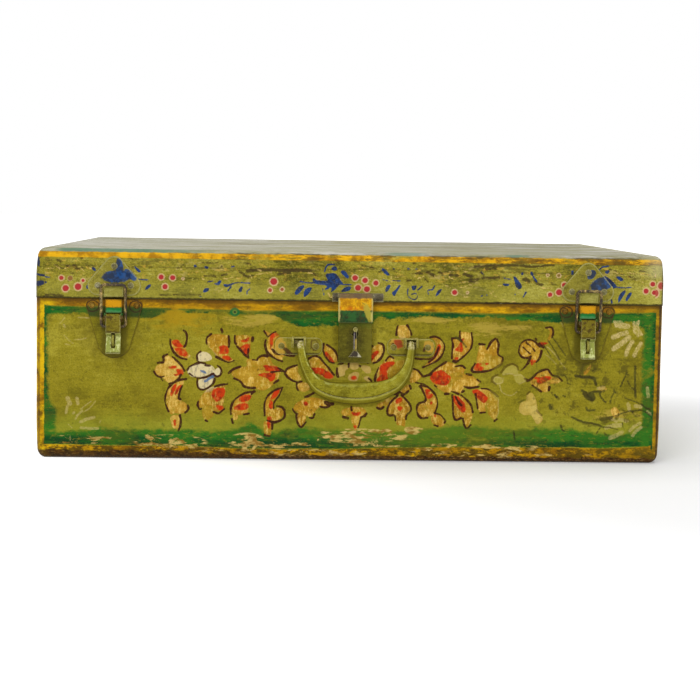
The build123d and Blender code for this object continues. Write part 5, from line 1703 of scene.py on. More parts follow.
def body_wear(w, place, colour):
    """The bottom fold worn to brown iron, rubbed corners, specks and scratches all over."""
    p = paints()
    x, _, z = w.axes(place)
    ragged = w.noise(place, 0.22, 7.0, 0.72, stretch=(0.5, 1, 1))
    slope = w.weigh(w.rise(x, -130.0, -60.0), 7.2, 4.7)
    worn_low = w.rise(w.take(w.add(z, w.times(w.take(ragged, 0.5), 9.0)), slope), 0.8, -0.6)
    rusty = w.tint(pigment(78, 48, 14), (36, 22, 8), w.spots(0.4, 0.62, place, 0.2, 6.0, 0.72))
    glints = w.spots(0.53, 0.6, place, 0.6, 6.0, 0.78, stretch=(0.5, 1, 1))
    glints = w.times(glints, w.weigh(w.rise(x, -110.0, -40.0), 0.3, 0.85))
    rusty = w.tint(rusty, (166, 132, 70), glints)
    chipped = w.spots(0.56, 0.62, place, 0.3, 8.0, 0.8, shift=(15, 0, 5), stretch=(0.5, 1, 1))
    chipped = w.times(chipped, w.rise(z, 15.0, 10.0))
    colour = w.tint(colour, (52, 36, 10), chipped, 0.8)
    colour = w.layer(w.times(worn_low, 0.94), colour, rusty)
    corner = frame_distance(w, place, BODY_HALF_LENGTH, BODY_HALF_DEPTH)
    corner_wear = w.times(w.rise(corner, 3.4, 0.8), chips_at(w, place, 0.7, 0.12, 0.05))
    colour = w.layer(w.times(corner_wear, 0.8), colour, tuple(p.rust))
    dark_edge = w.rise(w.add(w.size(w.take(w.size(x), 252.4)), w.times(w.take(ragged, 0.5), 4.0)), 1.7, 0.6)
    dark_edge = w.times(dark_edge, w.weigh(w.rise(x, 0.0, 1.0), 0.35, 0.85))
    colour = w.tint(colour, (54, 36, 12), dark_edge)
    specks = specks_at(w, place, 0.85)
    colour = w.tint(colour, (56, 44, 8), specks, 0.75)
    pits = w.spots(0.585, 0.63, place, 0.24, 8.0, 0.84, shift=(81, 0, 47))
    colour = w.tint(colour, (66, 56, 12), pits, 0.6)
    scratches = scratches_at(w, place, 0.35)
    return w.tint(colour, (176, 164, 84), scratches, 0.35)


def inner_coat(w, place, colour):
    """The drab coat inside the trunk, with rust freckles and pale rubbed streaks, where the sheet's
    inner face shows."""
    coat = old_paint(w, place, (122, 116, 88), (84, 74, 52), (150, 148, 128), 0.8)[0]
    freckles = specks_at(w, w.stretch(place, 0.6, 0.6, 0.6), 1.0)
    coat = w.tint(coat, (86, 52, 24), freckles, 0.7)
    rubbed = w.spots(0.54, 0.64, place, 0.05, 7.0, 0.74, stretch=(0.3, 0.3, 1))
    coat = w.tint(coat, (164, 160, 138), rubbed, 0.4)
    return w.layer(w.field("inner_side"), colour, coat)


def paint_body_end(w, place):
    """A body end: the walls' ground and wear outside, the drab coat inside."""
    colour, roughness, height = body_ground(w, place, False)
    colour = inner_coat(w, place, body_wear(w, place, colour))
    return colour, roughness, height, 0.0, 0.0006


def depth_mask(w, name, place, grain=0.35, scale=0.9):
    """The share of paint where a field is above zero, with a dry-brush edge."""
    rough = w.ripple(grain * 2.0, place, scale, 4.0, 0.7)
    return w.rise(w.add(w.field(name), rough), -0.16, 0.22)


def paint_body_skin(w, place):
    """The olive wall with its border, and over it the flowers, fans and stains from their fields."""
    p = paints()
    colour, roughness, height = body_ground(w, place, True)
    x, _, z = w.axes(place)
    loose = w.ripple(0.9, place, 0.3, 6.0, 0.72)
    streaked = w.ripple(3.4, place, 0.25, 7.0, 0.75, shift=(9, 0, 19), stretch=(0.22, 1, 1))
    glow = w.rise(w.add(w.blot(place, (-134.0, 115.5), (40.0, 14.0)), w.add(loose, streaked)), 0.0, 1.0)
    clear = w.take(1.0, w.rise(w.field("band"), -0.6, 0.4))
    colour = w.tint(colour, (168, 134, 14), glow, clear, 0.75)
    for middle, halves in (((-80.0, 115.0), (32.0, 6.5)), ((116.0, 110.0), (30.0, 8.0)),
                           ((62.0, 117.5), (26.0, 4.5)), ((214.0, 40.0), (24.0, 5.0))):
        sheen = w.rise(w.add(w.blot(place, middle, halves), w.add(loose, w.times(streaked, 1.6))), 0.2, 0.7)
        colour = w.tint(colour, (184, 158, 64), sheen, clear, 0.55)
    dull = w.rise(w.add(w.blot(place, (60.0, 30.0), (150.0, 30.0)), loose), 0.1, 0.7)
    colour = w.tint(colour, (126, 122, 14), dull, 0.3)

    pale = old_paint(w, w.stretch(place, 2.0, 2.0, 2.0), (204, 162, 62), (140, 98, 16), (232, 204, 118),
                     0.9)[0]
    warm = old_paint(w, w.stretch(place, 2.0, 2.0, 2.0), (180, 134, 26), (120, 82, 6), (214, 168, 58),
                     0.9)[0]
    tone = w.field("tone")
    petal_colour = w.layer(w.rise(tone, 0.4, 0.85), warm, pale)
    petal_wear = chips_at(w, place, 0.34, 0.2, 0.05)
    petal = w.times(depth_mask(w, "petal", place), w.weigh(w.rise(tone, 0.15, 0.4), 0.55, 0.94))
    petal = w.times(petal, w.take(1.0, w.times(petal_wear, 0.5)))
    edge_tone = w.times(w.rise(w.field("petal"), 1.8, 0.2), 0.4)
    petal_colour = w.tint(petal_colour, (150, 96, 14), edge_tone)
    brushed = w.noise(place, 0.45, 6.0, 0.72, shift=(8, 8, 8), stretch=(1, 1, 0.4))
    petal_colour = w.tint(petal_colour, (236, 200, 104), w.rise(brushed, 0.5, 0.6), 0.6)
    petal_colour = w.tint(petal_colour, (150, 104, 14), w.rise(brushed, 0.44, 0.36), 0.5)
    behind_grip = ((3.0, 70.0), (22.0, 14.0))
    for flower, tone_there, share in ((PALE_FLOWER, (216, 202, 158), 0.85),
                                      (GHOST_FLOWER, (158, 150, 62), 0.85),
                                      (FADED_FLOWER, (176, 160, 76), 0.55),
                                      (behind_grip, (172, 150, 84), 0.65)):
        near = w.rise(w.blot(place, *flower), 0.0, 0.25)
        petal_colour = w.tint(petal_colour, tone_there, near, share)
    lilac = w.times(w.rise(w.blot(place, *PALE_FLOWER), 0.0, 0.25), w.rise(brushed, 0.48, 0.4))
    petal_colour = w.tint(petal_colour, (132, 120, 108), lilac, 0.6)
    colour = w.layer(petal, colour, petal_colour)

    streak = w.noise(place, 0.5, 5.0, 0.7, stretch=(1, 1, 0.45))
    soft = w.ripple(2.0, place, 0.3, 5.0, 0.7)
    blush = w.rise(w.add(w.field("blush"), w.add(soft, 0.35)), -0.4, 0.6)
    red = w.layer(w.spots(0.36, 0.56, place, 0.3, 4.0), pigment(136, 30, 6), tuple(p.vermilion))
    colour = w.layer(w.times(blush, w.weigh(w.rise(streak, 0.34, 0.5), 0.6, 0.98)), colour, red)

    colour = w.tint(colour, (62, 96, 136), depth_mask(w, "remains", place), 0.85)

    stain = w.rise(w.add(w.field("stain"), w.ripple(4.0, place, 0.35, 6.0, 0.75)), -0.4, 1.6)
    colour = w.tint(colour, (64, 58, 20), stain, 0.7)

    fan_dry = w.spots(0.4, 0.6, place, 0.7, 6.0, 0.78)
    rough_brush = w.ripple(2.4, place, 0.5, 5.0, 0.75)
    broad_dabs = w.rise(x, 172.0, 184.0)
    dab = w.add(w.field("fan"), w.add(w.times(rough_brush, w.weigh(broad_dabs, 0.5, 1.0)),
                                      w.times(broad_dabs, 0.75)))
    strength = w.weigh(w.times(broad_dabs, w.rise(z, 60.0, 80.0)), 0.5, 0.85)
    fan = w.times(w.rise(dab, -0.3, 0.5), w.weigh(fan_dry, 0.2, strength))
    colour = w.layer(fan, colour, tuple(p.cream))

    ink_dry = w.spots(0.3, 0.5, place, 0.5, 4.0, 0.7, shift=(2, 5, 7))
    swollen = w.add(0.12, w.ripple(2.2, place, 0.12, 3.0, shift=(40, 0, 0)))
    ink = w.rise(w.add(w.field("ink"), swollen), -0.22, 0.2)
    faint = w.highest(*(w.rise(w.blot(place, *flower), 0.0, 0.2) for flower in (GHOST_FLOWER, FADED_FLOWER)))
    ink = w.times(ink, w.weigh(ink_dry, 0.6, 0.98), w.take(1.0, w.times(faint, 0.45)))
    colour = w.layer(ink, colour, tuple(p.umber))

    scored = w.ripple(2.6, place, 0.6, 6.0, 0.75)
    marks = w.rise(w.add(w.field("mark"), scored), -0.35, 0.45)
    scored_tone = w.tint(pigment(70, 68, 22), (42, 36, 14), w.spots(0.4, 0.6, place, 0.12, 3.0))
    colour = w.layer(w.times(marks, w.times(w.rise(x, -60.0, 60.0), 0.85)), colour, scored_tone)

    blotches = w.spots(0.52, 0.58, place, 0.1, 8.0, 0.76, shift=(29, 0, 11))
    region = w.rise(w.blot(place, (196.0, 58.0), (62.0, 44.0)), 0.0, 0.35)
    colour = w.tint(colour, (78, 70, 14), blotches, region, 0.7)
    # A hollow eyelet painted on the wall: a green ring, a paler ring inside it, and a dark middle of painted
    # shade standing for its hole.
    ring = w.take(w.blot(place, (-94.7, 121.0), (4.2, 3.8)), w.rise(w.axes(place)[1], -160.0, -150.0))
    colour = w.tint(colour, (16, 96, 44), w.rise(ring, 0.0, 0.12), 0.85)
    colour = w.tint(colour, (104, 122, 44), w.rise(ring, 0.45, 0.6), 0.8)
    colour = w.tint(colour, (28, 40, 20), w.rise(ring, 0.72, 0.82), 0.9)

    chips = w.rise(w.add(w.field("worn"), w.ripple(3.6, place, 0.5, 7.0, 0.78)), 0.0, 0.5)
    flake_tone = w.spots(0.38, 0.56, place, 0.3, 4.0, 0.6, stretch=(0.4, 1, 1))
    flake = w.tint(pigment(136, 100, 32), (202, 174, 98), flake_tone)
    colour = w.layer(w.times(chips, 0.92), colour, flake)
    flaked = w.noise(place, 0.26, 6.0, 0.68, shift=(19, 0, 77), stretch=(0.22, 1, 1))
    for middle, halves, level in (((9.0, 21.0), (44.0, 7.0), 0.495), ((-54.0, 14.5), (22.0, 5.0), 0.52),
                                  ((-146.0, 14.5), (34.0, 7.0), 0.525), ((-84.0, 15.0), (18.0, 9.0), 0.49),
                                  ((52.0, 26.5), (9.0, 4.5), 0.46), ((-220.0, 16.0), (24.0, 5.0), 0.55),
                                  ((100.0, 12.0), (80.0, 4.0), 0.55), ((30.0, 6.5), (210.0, 4.0), 0.545)):
        near = w.rise(w.blot(place, middle, halves), 0.0, 0.45)
        bald = w.times(w.rise(flaked, level, level + 0.03), w.rise(near, 0.05, 0.4))
        colour = w.layer(w.times(bald, 0.9), colour, flake)

    colour = body_wear(w, place, colour)
    colour = inner_coat(w, place, colour)
    return colour, roughness, height, 0.0, 0.0007


def lid_ground(w, place):
    """Thin olive walls, a top worn pale and painted paler still as painted light from above, the gilded line
    on the folded edges and the teal brushed behind it. Returns colour, roughness and height."""
    x, y, z = w.axes(place)
    ragged = w.ripple(1.8, place, 0.4, 6.0, 0.7, stretch=(0.4, 1, 1))
    level = w.add(z, ragged)
    on_top = w.rise(level, 167.6, 169.0)

    wall = old_paint(w, w.stretch(place, 1.0, 1.2, 1.4), (148, 138, 38), (78, 74, 14), (182, 172, 78), 1.1)
    # The top: worn pale paint, lightened as painted light from above, and painted paler towards the left and
    # darker towards the right as painted light and shade.
    top_place = w.stretch(place, 0.16, 1.0, 1.0)
    top = old_paint(w, top_place, (176, 172, 150), (148, 146, 112), (206, 204, 196), 1.0)
    right = w.rise(x, -120.0, 230.0)
    top_colour = w.tint(top[0], (136, 132, 100), right, 0.65)
    top_colour = w.tint(top_colour, (208, 206, 200), w.rise(x, -90.0, -240.0), 0.35)
    colour = w.layer(on_top, wall[0], top_colour)
    wavy = w.noise(place, 0.05, 8.0, 0.72, 1.5, stretch=(0.28, 1, 1))
    bald = w.rise(w.size(w.take(wavy, 0.5)), 0.05, 0.0)
    colour = w.tint(colour, (120, 114, 80), on_top, w.times(bald, 0.6))
    dull = w.spots(0.46, 0.62, place, 0.03, 7.0, 0.72, 0.8, shift=(70, 20, 0), stretch=(0.3, 1, 1))
    colour = w.tint(colour, (140, 138, 96), on_top, w.times(dull, 0.65))
    pale = w.spots(0.5, 0.62, place, 0.05, 7.0, 0.7, 0.6, shift=(10, 60, 0), stretch=(0.2, 1, 1))
    colour = w.tint(colour, (210, 206, 202), on_top, w.times(pale, 0.45))
    olive_top = w.spots(0.56, 0.66, place, 0.04, 8.0, 0.75, 1.0, shift=(33, 5, 0), stretch=(0.35, 1, 1))
    colour = w.tint(colour, (128, 122, 48), on_top, w.times(olive_top, 0.6))

    near_front = w.rise(y, -157.0, -159.0)
    drift = w.ripple(120.0, place, 0.05, 4.0, stretch=(1, 0.1, 0.1))
    strip_share = w.highest(w.times(w.rise(x, -242.0, -232.0), w.rise(w.add(x, drift), -90.0, -170.0)),
                            w.times(w.band(w.add(x, w.times(drift, 0.3)), 30.0, 58.0, 8.0), 0.7),
                            w.times(w.band(w.add(x, w.times(drift, 0.3)), 124.0, 142.0, 5.0), 0.8))
    strip = w.times(w.rise(level, 167.9, 168.5), w.rise(level, 171.0, 170.4),
                    w.times(near_front, strip_share))
    colour = w.tint(colour, (62, 112, 88), strip, 0.75)

    gilt = w.times(w.rise(level, 163.2, 163.9), w.rise(level, 168.4, 167.7))
    rubbed = w.noise(place, 0.11, 6.0, 0.7, shift=(12, 0, 6), stretch=(0.25, 1, 1))
    keep = w.weigh(w.rise(x, -160.0, -120.0), 0.12, 0.0)
    gilt = w.times(gilt, w.take(1.0, w.times(w.rise(w.take(rubbed, keep), 0.52, 0.6), 0.7)))
    gold_tone = w.tint(pigment(160, 112, 6), (222, 168, 12), w.spots(0.38, 0.6, place, 0.09, 5.0, 0.62))
    colour = w.layer(gilt, colour, gold_tone)
    soot = w.noise(place, 0.16, 7.0, 0.76, shift=(50, 0, 9), stretch=(0.2, 1, 1))
    soot = w.rise(w.take(soot, keep), 0.5, 0.56)
    soot = w.times(soot, w.times(w.rise(level, 162.4, 163.6), w.rise(level, 169.4, 168.4)))
    colour = w.tint(colour, (56, 44, 18), soot, 0.7)
    return colour, w.add(wall[1], 0.02), wall[2]


def lid_wear(w, place, colour):
    """Painted shade along the lower edge, rubbed corners, specks and scratches."""
    x, _, z = w.axes(place)
    ragged = w.ripple(3.0, place, 0.3, 6.0, 0.72)
    # A dark line of painted shade along the lid's lower edge.
    low = w.rise(w.add(z, ragged), 132.6, 131.2)
    colour = w.tint(colour, (40, 28, 10), low, 0.9)
    bleached = w.times(w.rise(w.size(x), 232.0, 250.0), w.rise(w.add(z, w.times(ragged, 3.0)), 150.0, 158.0))
    colour = w.tint(colour, (196, 190, 150), bleached, w.rise(x, 0.0, 1.0), 0.35)
    corner = frame_distance(w, place, LID_HALF_LENGTH, LID_HALF_DEPTH)
    worn = w.times(w.rise(corner, 2.6, 0.8), chips_at(w, w.stretch(place, 0.5, 1.0, 1.0), 0.62, 0.12, 0.05))
    colour = w.tint(colour, (76, 64, 26), worn, 0.65)
    dark_edge = w.rise(w.add(w.size(w.take(w.size(x), 253.8)), w.times(ragged, 0.5)), 1.5, 0.5)
    colour = w.tint(colour, (64, 50, 20), dark_edge, w.weigh(w.rise(x, 0.0, 1.0), 0.2, 0.75))
    specks = specks_at(w, place, 1.0)
    colour = w.tint(colour, (54, 46, 18), specks, 0.65)
    scratches = scratches_at(w, place, 0.6)
    return w.tint(colour, (196, 184, 120), scratches, 0.45)


def paint_lid_end(w, place):
    """A lid end: the ground, the leaves and berries that run round its front corner, and wear."""
    colour, roughness, height = lid_ground(w, place)
    x, y, _ = w.axes(place)
    on_front = w.times(w.rise(y, -158.0, -160.0), w.rise(x, -200.0, -240.0))
    rough = w.ripple(0.9, place, 0.5, 5.0, 0.75)
    for middle, halves, turn in (((-252.6, 159.4), (1.5, 4.2), 0.1), ((-250.5, 148.9), (6.5, 1.0), -0.12),
                                 ((-251.6, 142.2), (5.2, 2.3), 0.2)):
        leaf = w.rise(w.add(w.blot(place, middle, halves, turn), rough), -0.05, 0.2)
        colour = w.tint(colour, (14, 34, 74), leaf, on_front, 0.92)
    for middle, halo, core in (((246.6, 141.0), 4.6, 3.2), ((251.8, 147.0), 4.4, 3.0)):
        for radius, tone in ((halo, pigment(206, 172, 126)), (core, tuple(paints().crimson))):
            berry = w.rise(w.add(w.blot(place, middle, (radius, radius)), w.times(rough, 0.3)), 0.0, 0.12)
            colour = w.layer(w.times(berry, w.rise(y, -158.0, -160.0), 0.85), colour, tone)
    colour = inner_coat(w, place, lid_wear(w, place, colour))
    return colour, roughness, height, 0.0, 0.0006


def paint_lid_skin(w, place):
    """The lid's ground, and over it the rubbed places, leaves and berries from their fields."""
    p = paints()
    colour, roughness, height = lid_ground(w, place)
    _, _, z = w.axes(place)
    on_wall = w.rise(z, 164.5, 161.0)

    bare = chips_at(w, w.stretch(w.shift(place, 0.0, 0.0, 31.0), 0.5, 1.0, 1.0), 0.26, 0.13, 0.05)
    colour = w.tint(colour, (188, 166, 96), bare, on_wall, 0.5)
    crease = w.take(z, w.add(156.4, w.ripple(7.0, place, 0.03, 3.0, stretch=(1, 0.1, 0.1))))
    dark_line = w.rise(w.add(w.size(crease), w.times(w.noise(place, 0.3, 6.0, 0.75), 5.0)), 3.4, 2.0)
    colour = w.tint(colour, (66, 56, 18), dark_line, 0.7)
    clean = w.rise(z, 147.0, 141.0)
    colour = w.tint(colour, (158, 152, 60), clean, 0.3)

    smear = w.spots(0.52, 0.6, place, 0.16, 8.0, 0.78, shift=(7, 0, 27), stretch=(0.25, 1, 1))
    smear = w.times(smear, w.rise(z, 146.0, 153.0))
    colour = w.tint(colour, (78, 70, 28), smear, on_wall, 0.6)
    gilt_left = w.spots(0.565, 0.61, place, 0.3, 8.0, 0.8, shift=(71, 0, 7), stretch=(0.5, 1, 1))
    gilt_left = w.times(gilt_left, w.rise(z, 145.0, 150.0))
    colour = w.tint(colour, (204, 162, 62), gilt_left, on_wall, 0.75)
    loose = w.ripple(6.0, place, 0.5, 7.0, 0.78, stretch=(0.6, 1, 1))
    rub = w.rise(w.add(w.field("rub"), loose), -0.6, 0.5)
    colour = w.tint(colour, (58, 44, 20), rub, 0.85)
    scrape = w.rise(w.add(w.field("scrape"), loose), 0.0, 0.6)
    colour = w.tint(colour, (206, 176, 100), scrape, 0.85)

    broken = w.spots(0.36, 0.56, place, 0.7, 6.0, 0.75)
    ring = w.times(depth_mask(w, "ring", place, 0.9, 0.8), w.weigh(broken, 0.35, 0.85))
    colour = w.tint(colour, (206, 172, 126), ring)
    red = w.layer(w.rise(w.field("redness"), 0.1, 0.7), pigment(122, 96, 40), tuple(p.crimson))
    colour = w.layer(w.times(depth_mask(w, "berry", place, 0.5, 0.8), 0.95), colour, red)

    shade = w.spots(0.4, 0.6, place, 0.25, 5.0, 0.7)
    blue = w.layer(shade, pigment(8, 28, 64), tuple(p.ultramarine))
    worn = w.spots(0.28, 0.44, place, 0.6, 6.0, 0.75, shift=(4, 2, 0))
    leaf = w.times(depth_mask(w, "leaf", place, 0.6, 0.8), w.weigh(worn, 0.3, 0.95))
    colour = w.layer(leaf, colour, blue)

    colour = lid_wear(w, place, colour)
    colour = inner_coat(w, place, colour)
    return colour, roughness, height, 0.0, 0.0008


# ---------------------------------------------------------------- finishes of the fittings


def fitting_finish(name, base, dark, light, bare=(178, 170, 110), wear=0.1, metal=0.0, overlay=None,
                   sheen=0.12, rim=0.0011):
    """Enamelled steel fitting: uneven paint, edges turned to the bare colour, specks of dirt. The edge
    colour is rubbed paint; on the catch plates it is also a painted highlight on the raised rim, and on the
    latch bases painted shade and grime. The colours are display bytes. An overlay may lay further colours
    over the paint."""

    def paint(w, place):
        painted = old_paint(w, w.stretch(place, 2.2, 2.2, 2.2), base, dark, light, 0.9)
        colour = overlay(w, place, painted[0]) if overlay else painted[0]
        edges = use_group(w, "Edge wear", place=place, radius=rim, share=wear)[0]
        colour = w.tint(colour, bare, edges, 0.8)
        chips = chips_at(w, place, 0.35, 0.22, 0.04)
        colour = w.tint(colour, dark, chips, 0.4)
        specks = specks_at(w, w.stretch(place, 1.6, 1.6, 1.6), 1.1)
        colour = w.tint(colour, (48, 36, 14), specks, 0.8)
        shine = w.take(painted[1], w.times(edges, 0.08))
        return colour, shine, painted[2], metal, 0.0003

    return make_finish(name, paint, sheen)


def paint_fitting(nodes, *names_and_colours, **options):
    """Makes a fitting's finish and gives it to its nodes."""
    dress(nodes, fitting_finish(*names_and_colours, **options))


def boss_bands(middle_x):
    """The wall's border and band run over a latch base, painted darker there as painted shade under the lid;
    its raised boss carries them brighter as painted light, with a painted highlight on its green, and is
    worn to brown at its foot."""

    def overlay(w, place, colour):
        x, y, z = w.axes(place)
        from_middle = w.size(w.take(x, middle_x))
        proud = w.times(w.rise(from_middle, 10.0, 9.2), w.rise(y, -166.6, -167.4))
        ragged = w.add(z, w.ripple(3.4, place, 0.3, 5.0, 0.7))
        # Over the plate the gilded and emerald bands are painted darker, as painted shade under the lid.
        colour = w.tint(colour, (146, 96, 8), w.rise(ragged, 124.0, 125.0), 0.85)
        colour = w.tint(colour, (24, 56, 20), w.band(ragged, 115.6, 124.4, 1.6), 0.85)
        # Darker on the plate round the lever below the boss: grime and painted shade.
        stain = w.rise(w.add(from_middle, w.ripple(8.0, place, 0.2, 5.0, 0.7)), 12.5, 8.5)
        stain = w.times(stain, w.rise(z, 116.0, 110.0))
        colour = w.tint(colour, (72, 64, 8), stain, 0.6)
        for way in (-1.0, 1.0):
            loop = w.size(w.add(w.blot(place, (middle_x + way * 17.2, 124.6), (5.0, 4.4)),
                                w.ripple(0.6, place, 0.4, 4.0, 0.7)))
            colour = w.tint(colour, (48, 32, 12), w.rise(loop, 0.2, 0.08), 0.85)
        # The raised boss: its bands painted brighter as painted light, with a painted highlight on the green.
        colour = w.tint(colour, (206, 146, 6), proud, w.rise(ragged, 123.4, 124.6))
        colour = w.tint(colour, (24, 112, 46), proud, w.band(ragged, 117.8, 123.6, 0.6))
        boss_highlight = w.times(proud, w.band(ragged, 119.0, 121.4, 1.0))
        colour = w.tint(colour, (96, 166, 110), boss_highlight, 0.5)
        colour = w.tint(colour, (70, 44, 16), proud, w.times(w.rise(ragged, 118.2, 116.8), 0.9))
        flecks = w.spots(0.56, 0.64, place, 0.5, 5.0, 0.75)
        low = w.times(proud, w.times(w.rise(ragged, 118.2, 116.8), flecks))
        return w.tint(colour, (206, 172, 96), low, 0.8)

    return overlay


def strap_bands(w, place, colour):
    """The hasp strap: the gilded and emerald bands of the wall run over it, worn pale at its edges."""
    x, _, z = w.axes(place)
    loose = w.ripple(2.4, place, 0.4, 6.0, 0.75)
    ragged = w.add(z, loose)
    gold = w.tint(pigment(170, 116, 4), (222, 168, 10), w.spots(0.4, 0.6, place, 0.22, 5.0, 0.7))
    colour = w.layer(w.rise(ragged, 123.6, 124.6), colour, gold)
    green = w.tint(pigment(14, 44, 22), (30, 84, 36), w.spots(0.42, 0.58, place, 0.16, 6.0, 0.72))
    colour = w.layer(w.times(w.rise(ragged, 124.2, 123.4), 0.94), colour, green)
    reddish = w.times(w.band(ragged, 124.2, 127.0, 1.0), w.spots(0.42, 0.56, place, 0.3, 5.0, 0.7))
    colour = w.tint(colour, (196, 96, 8), reddish, 0.6)
    patch = w.rise(w.add(w.blot(place, (12.6, 122.6), (3.4, 10.0), 0.35), w.times(loose, 0.55)), 0.0, 0.4)
    colour = w.tint(colour, (170, 156, 54), patch, 0.85)
    rim = w.rise(w.add(w.size(w.take(x, LOCK_X)), w.times(loose, 1.6)), 12.0, 13.2)
    colour = w.tint(colour, (192, 180, 104), rim, 0.75)
    top = w.rise(ragged, 133.0, 134.4)
    colour = w.tint(colour, (84, 74, 66), top, 0.85)
    low = w.rise(ragged, 115.6, 114.6)
    return w.tint(colour, (38, 58, 20), low, 0.8)


def plate_leaves(blots):
    """Blue leaves that run from the lid over a catch plate: leaning ovals with brushed edges."""

    def overlay(w, place, colour):
        rough = w.ripple(0.5, place, 0.5, 4.0, 0.7)
        shade = w.spots(0.42, 0.6, place, 0.2, 3.0)
        blue = w.tint(pigment(18, 40, 74), (28, 72, 128), shade)
        for middle, halves, turn in blots:
            leaf = w.rise(w.add(w.blot(place, middle, halves, turn), rough), -0.05, 0.12)
            colour = w.layer(w.times(leaf, 0.92), colour, blue)
        return colour

    return overlay


def wire_tones(w, place, colour):
    """A bail wire: old brown lacquer, black in patches, with straw-coloured streaks of painted highlight
    along it.
    """
    long = w.noise(place, 0.3, 5.0, 0.7, stretch=(1, 1, 0.3))
    colour = w.tint(colour, (26, 18, 8), w.rise(long, 0.5, 0.42), 0.85)
    # Straw-coloured streaks of painted highlight.
    return w.tint(colour, (206, 172, 96), w.rise(long, 0.54, 0.62), 0.9)


def case_tones(w, place, colour):
    """The lock case: green glaze under the strap, a dark stain round the keyhole, a paler right side and
    painted highlights along its upright edges.
    """
    x, _, z = w.axes(place)
    loose = w.ripple(14.0, place, 0.2, 6.0, 0.72)
    colour = w.tint(colour, (116, 108, 30), w.rise(w.add(x, loose), 8.0, 15.0), 0.5)
    colour = w.tint(colour, (62, 84, 20), w.rise(w.add(z, loose), 108.0, 114.0), 0.5)
    stain = w.rise(w.add(w.blot(place, (LOCK_X, 100.0), (9.0, 16.0)), w.times(loose, 0.05)), 0.0, 0.6)
    colour = w.tint(colour, (46, 40, 12), stain, 0.55)
    # Painted highlights along the case's left and right edges.
    edge = w.rise(w.size(w.take(x, LOCK_X)), 12.2, 13.0)
    return w.tint(colour, (126, 120, 52), edge, w.times(w.rise(loose, 0.0, 1.2), 0.6))


def cover_tones(w, place, colour):
    """The keyhole cover: a head painted dark as the shade in the slot, a neck with a grey painted glint
    on its left and a golden painted highlight on its right, and a dark toe with a pale painted highlight
    on its right corner.
    """
    x, _, z = w.axes(place)
    loose = w.ripple(3.0, place, 0.6, 5.0, 0.7)
    # Painted shade on the head; a painted glint and a painted highlight on the neck; a painted highlight on
    # the toe's right corner.
    colour = w.tint(colour, (30, 24, 26), w.rise(w.add(z, loose), 99.0, 102.0))
    neck = w.band(w.add(z, loose), 92.5, 106.0, 0.8)
    colour = w.tint(colour, (112, 102, 112), neck, w.rise(x, 2.6, 2.0))
    colour = w.tint(colour, (176, 146, 60), w.band(w.add(z, loose), 92.5, 101.0, 0.8), w.rise(x, 2.8, 3.4))
    toe = w.rise(w.add(z, loose), 91.6, 90.6)
    colour = w.tint(colour, (58, 50, 40), toe)
    return w.tint(colour, (170, 164, 140), toe, w.rise(w.add(x, loose), 4.4, 5.6))


def lever_end(w, place, colour):
    """The thumb end of a lever is painted a paler green, its own paint lightened as painted light where it
    turns up, with whitish flecks of painted highlight near the lip and dark lines of painted shade where it
    bends out and along its foot.
    """
    ragged = w.add(w.axes(place)[2], w.ripple(3.6, place, 0.3, 5.0, 0.7))
    # Paler green: the end's own paint, and painted light where it turns up.
    colour = w.tint(colour, (150, 158, 74), w.rise(ragged, 104.5, 102.5), 0.85)
    # Whitish flecks of painted highlight near the lip.
    dry = w.spots(0.5, 0.58, place, 0.3, 6.0, 0.75, stretch=(1, 1, 0.5))
    colour = w.tint(colour, (214, 218, 150), w.rise(ragged, 103.0, 100.0), dry, 0.75)
    rust = w.spots(0.52, 0.6, place, 0.22, 6.0, 0.75, shift=(3, 0, 9))
    colour = w.tint(colour, (58, 36, 16), w.rise(ragged, 106.0, 110.0), rust, 0.75)
    # Painted shade lines: where the end bends out, and along its foot.
    seam = w.highest(w.band(ragged, 103.2, 105.0, 0.5), w.rise(ragged, 88.8, 87.8))
    return w.tint(colour, (58, 46, 16), seam, 0.7)


def handle_lines(w, place, colour):
    """Painted shade in the groove along the grip, on its lower face, on the right arm and along both edges;
    painted highlights below the groove and along the inner edge; pale worn flecks by the eyes that also
    stand for their painted highlights.
    """
    across = w.add(w.field("across"), w.ripple(0.16, place, 0.3, 5.0, 0.7))
    along = w.field("grip")
    # Painted shade in the groove along the grip.
    groove = w.times(w.band(across, 0.36, 0.46, 0.06), w.rise(along, 0.2, 0.6))
    colour = w.tint(colour, (42, 34, 8), groove, 0.9)
    x = w.axes(place)[0]
    # Painted shade on the right arm.
    shaded_right_arm = w.times(w.rise(x, 24.0, 44.0), w.rise(across, -0.5, 0.4))
    colour = w.tint(colour, (84, 76, 8), shaded_right_arm, 0.5)
    # Painted shade on the grip's lower face.
    lower = w.rise(across, 0.46, 0.8)
    colour = w.tint(colour, (104, 94, 8), lower, 0.6)
    # A painted highlight just below the groove.
    below = w.band(across, 0.5, 0.6, 0.08)
    colour = w.tint(colour, (186, 182, 92), below, 0.5)
    # A painted highlight along the inner edge, broken up in spots.
    inner = w.band(across, -0.86, -0.62, 0.1)
    rubbed = w.spots(0.42, 0.54, place, 0.25, 5.0, 0.7)
    inner = w.times(inner, rubbed, w.weigh(w.rise(x, 10.0, -30.0), 0.35, 0.9))
    colour = w.tint(colour, (188, 190, 104), inner, w.weigh(along, 1.0, 0.5))
    # A dark outline of painted shade along both edges.
    outer = w.highest(w.rise(across, 0.86, 1.0), w.rise(across, -0.9, -1.0))
    colour = w.tint(colour, (52, 44, 8), outer, 0.8)
    # Pale worn flecks by the eyes, also standing for their painted highlights.
    eyes = w.rise(w.axes(place)[2], 92.0, 95.0)
    chips = w.spots(0.42, 0.56, place, 0.6, 4.0, 0.7)
    return w.tint(colour, (208, 196, 146), eyes, w.times(chips, 0.85))


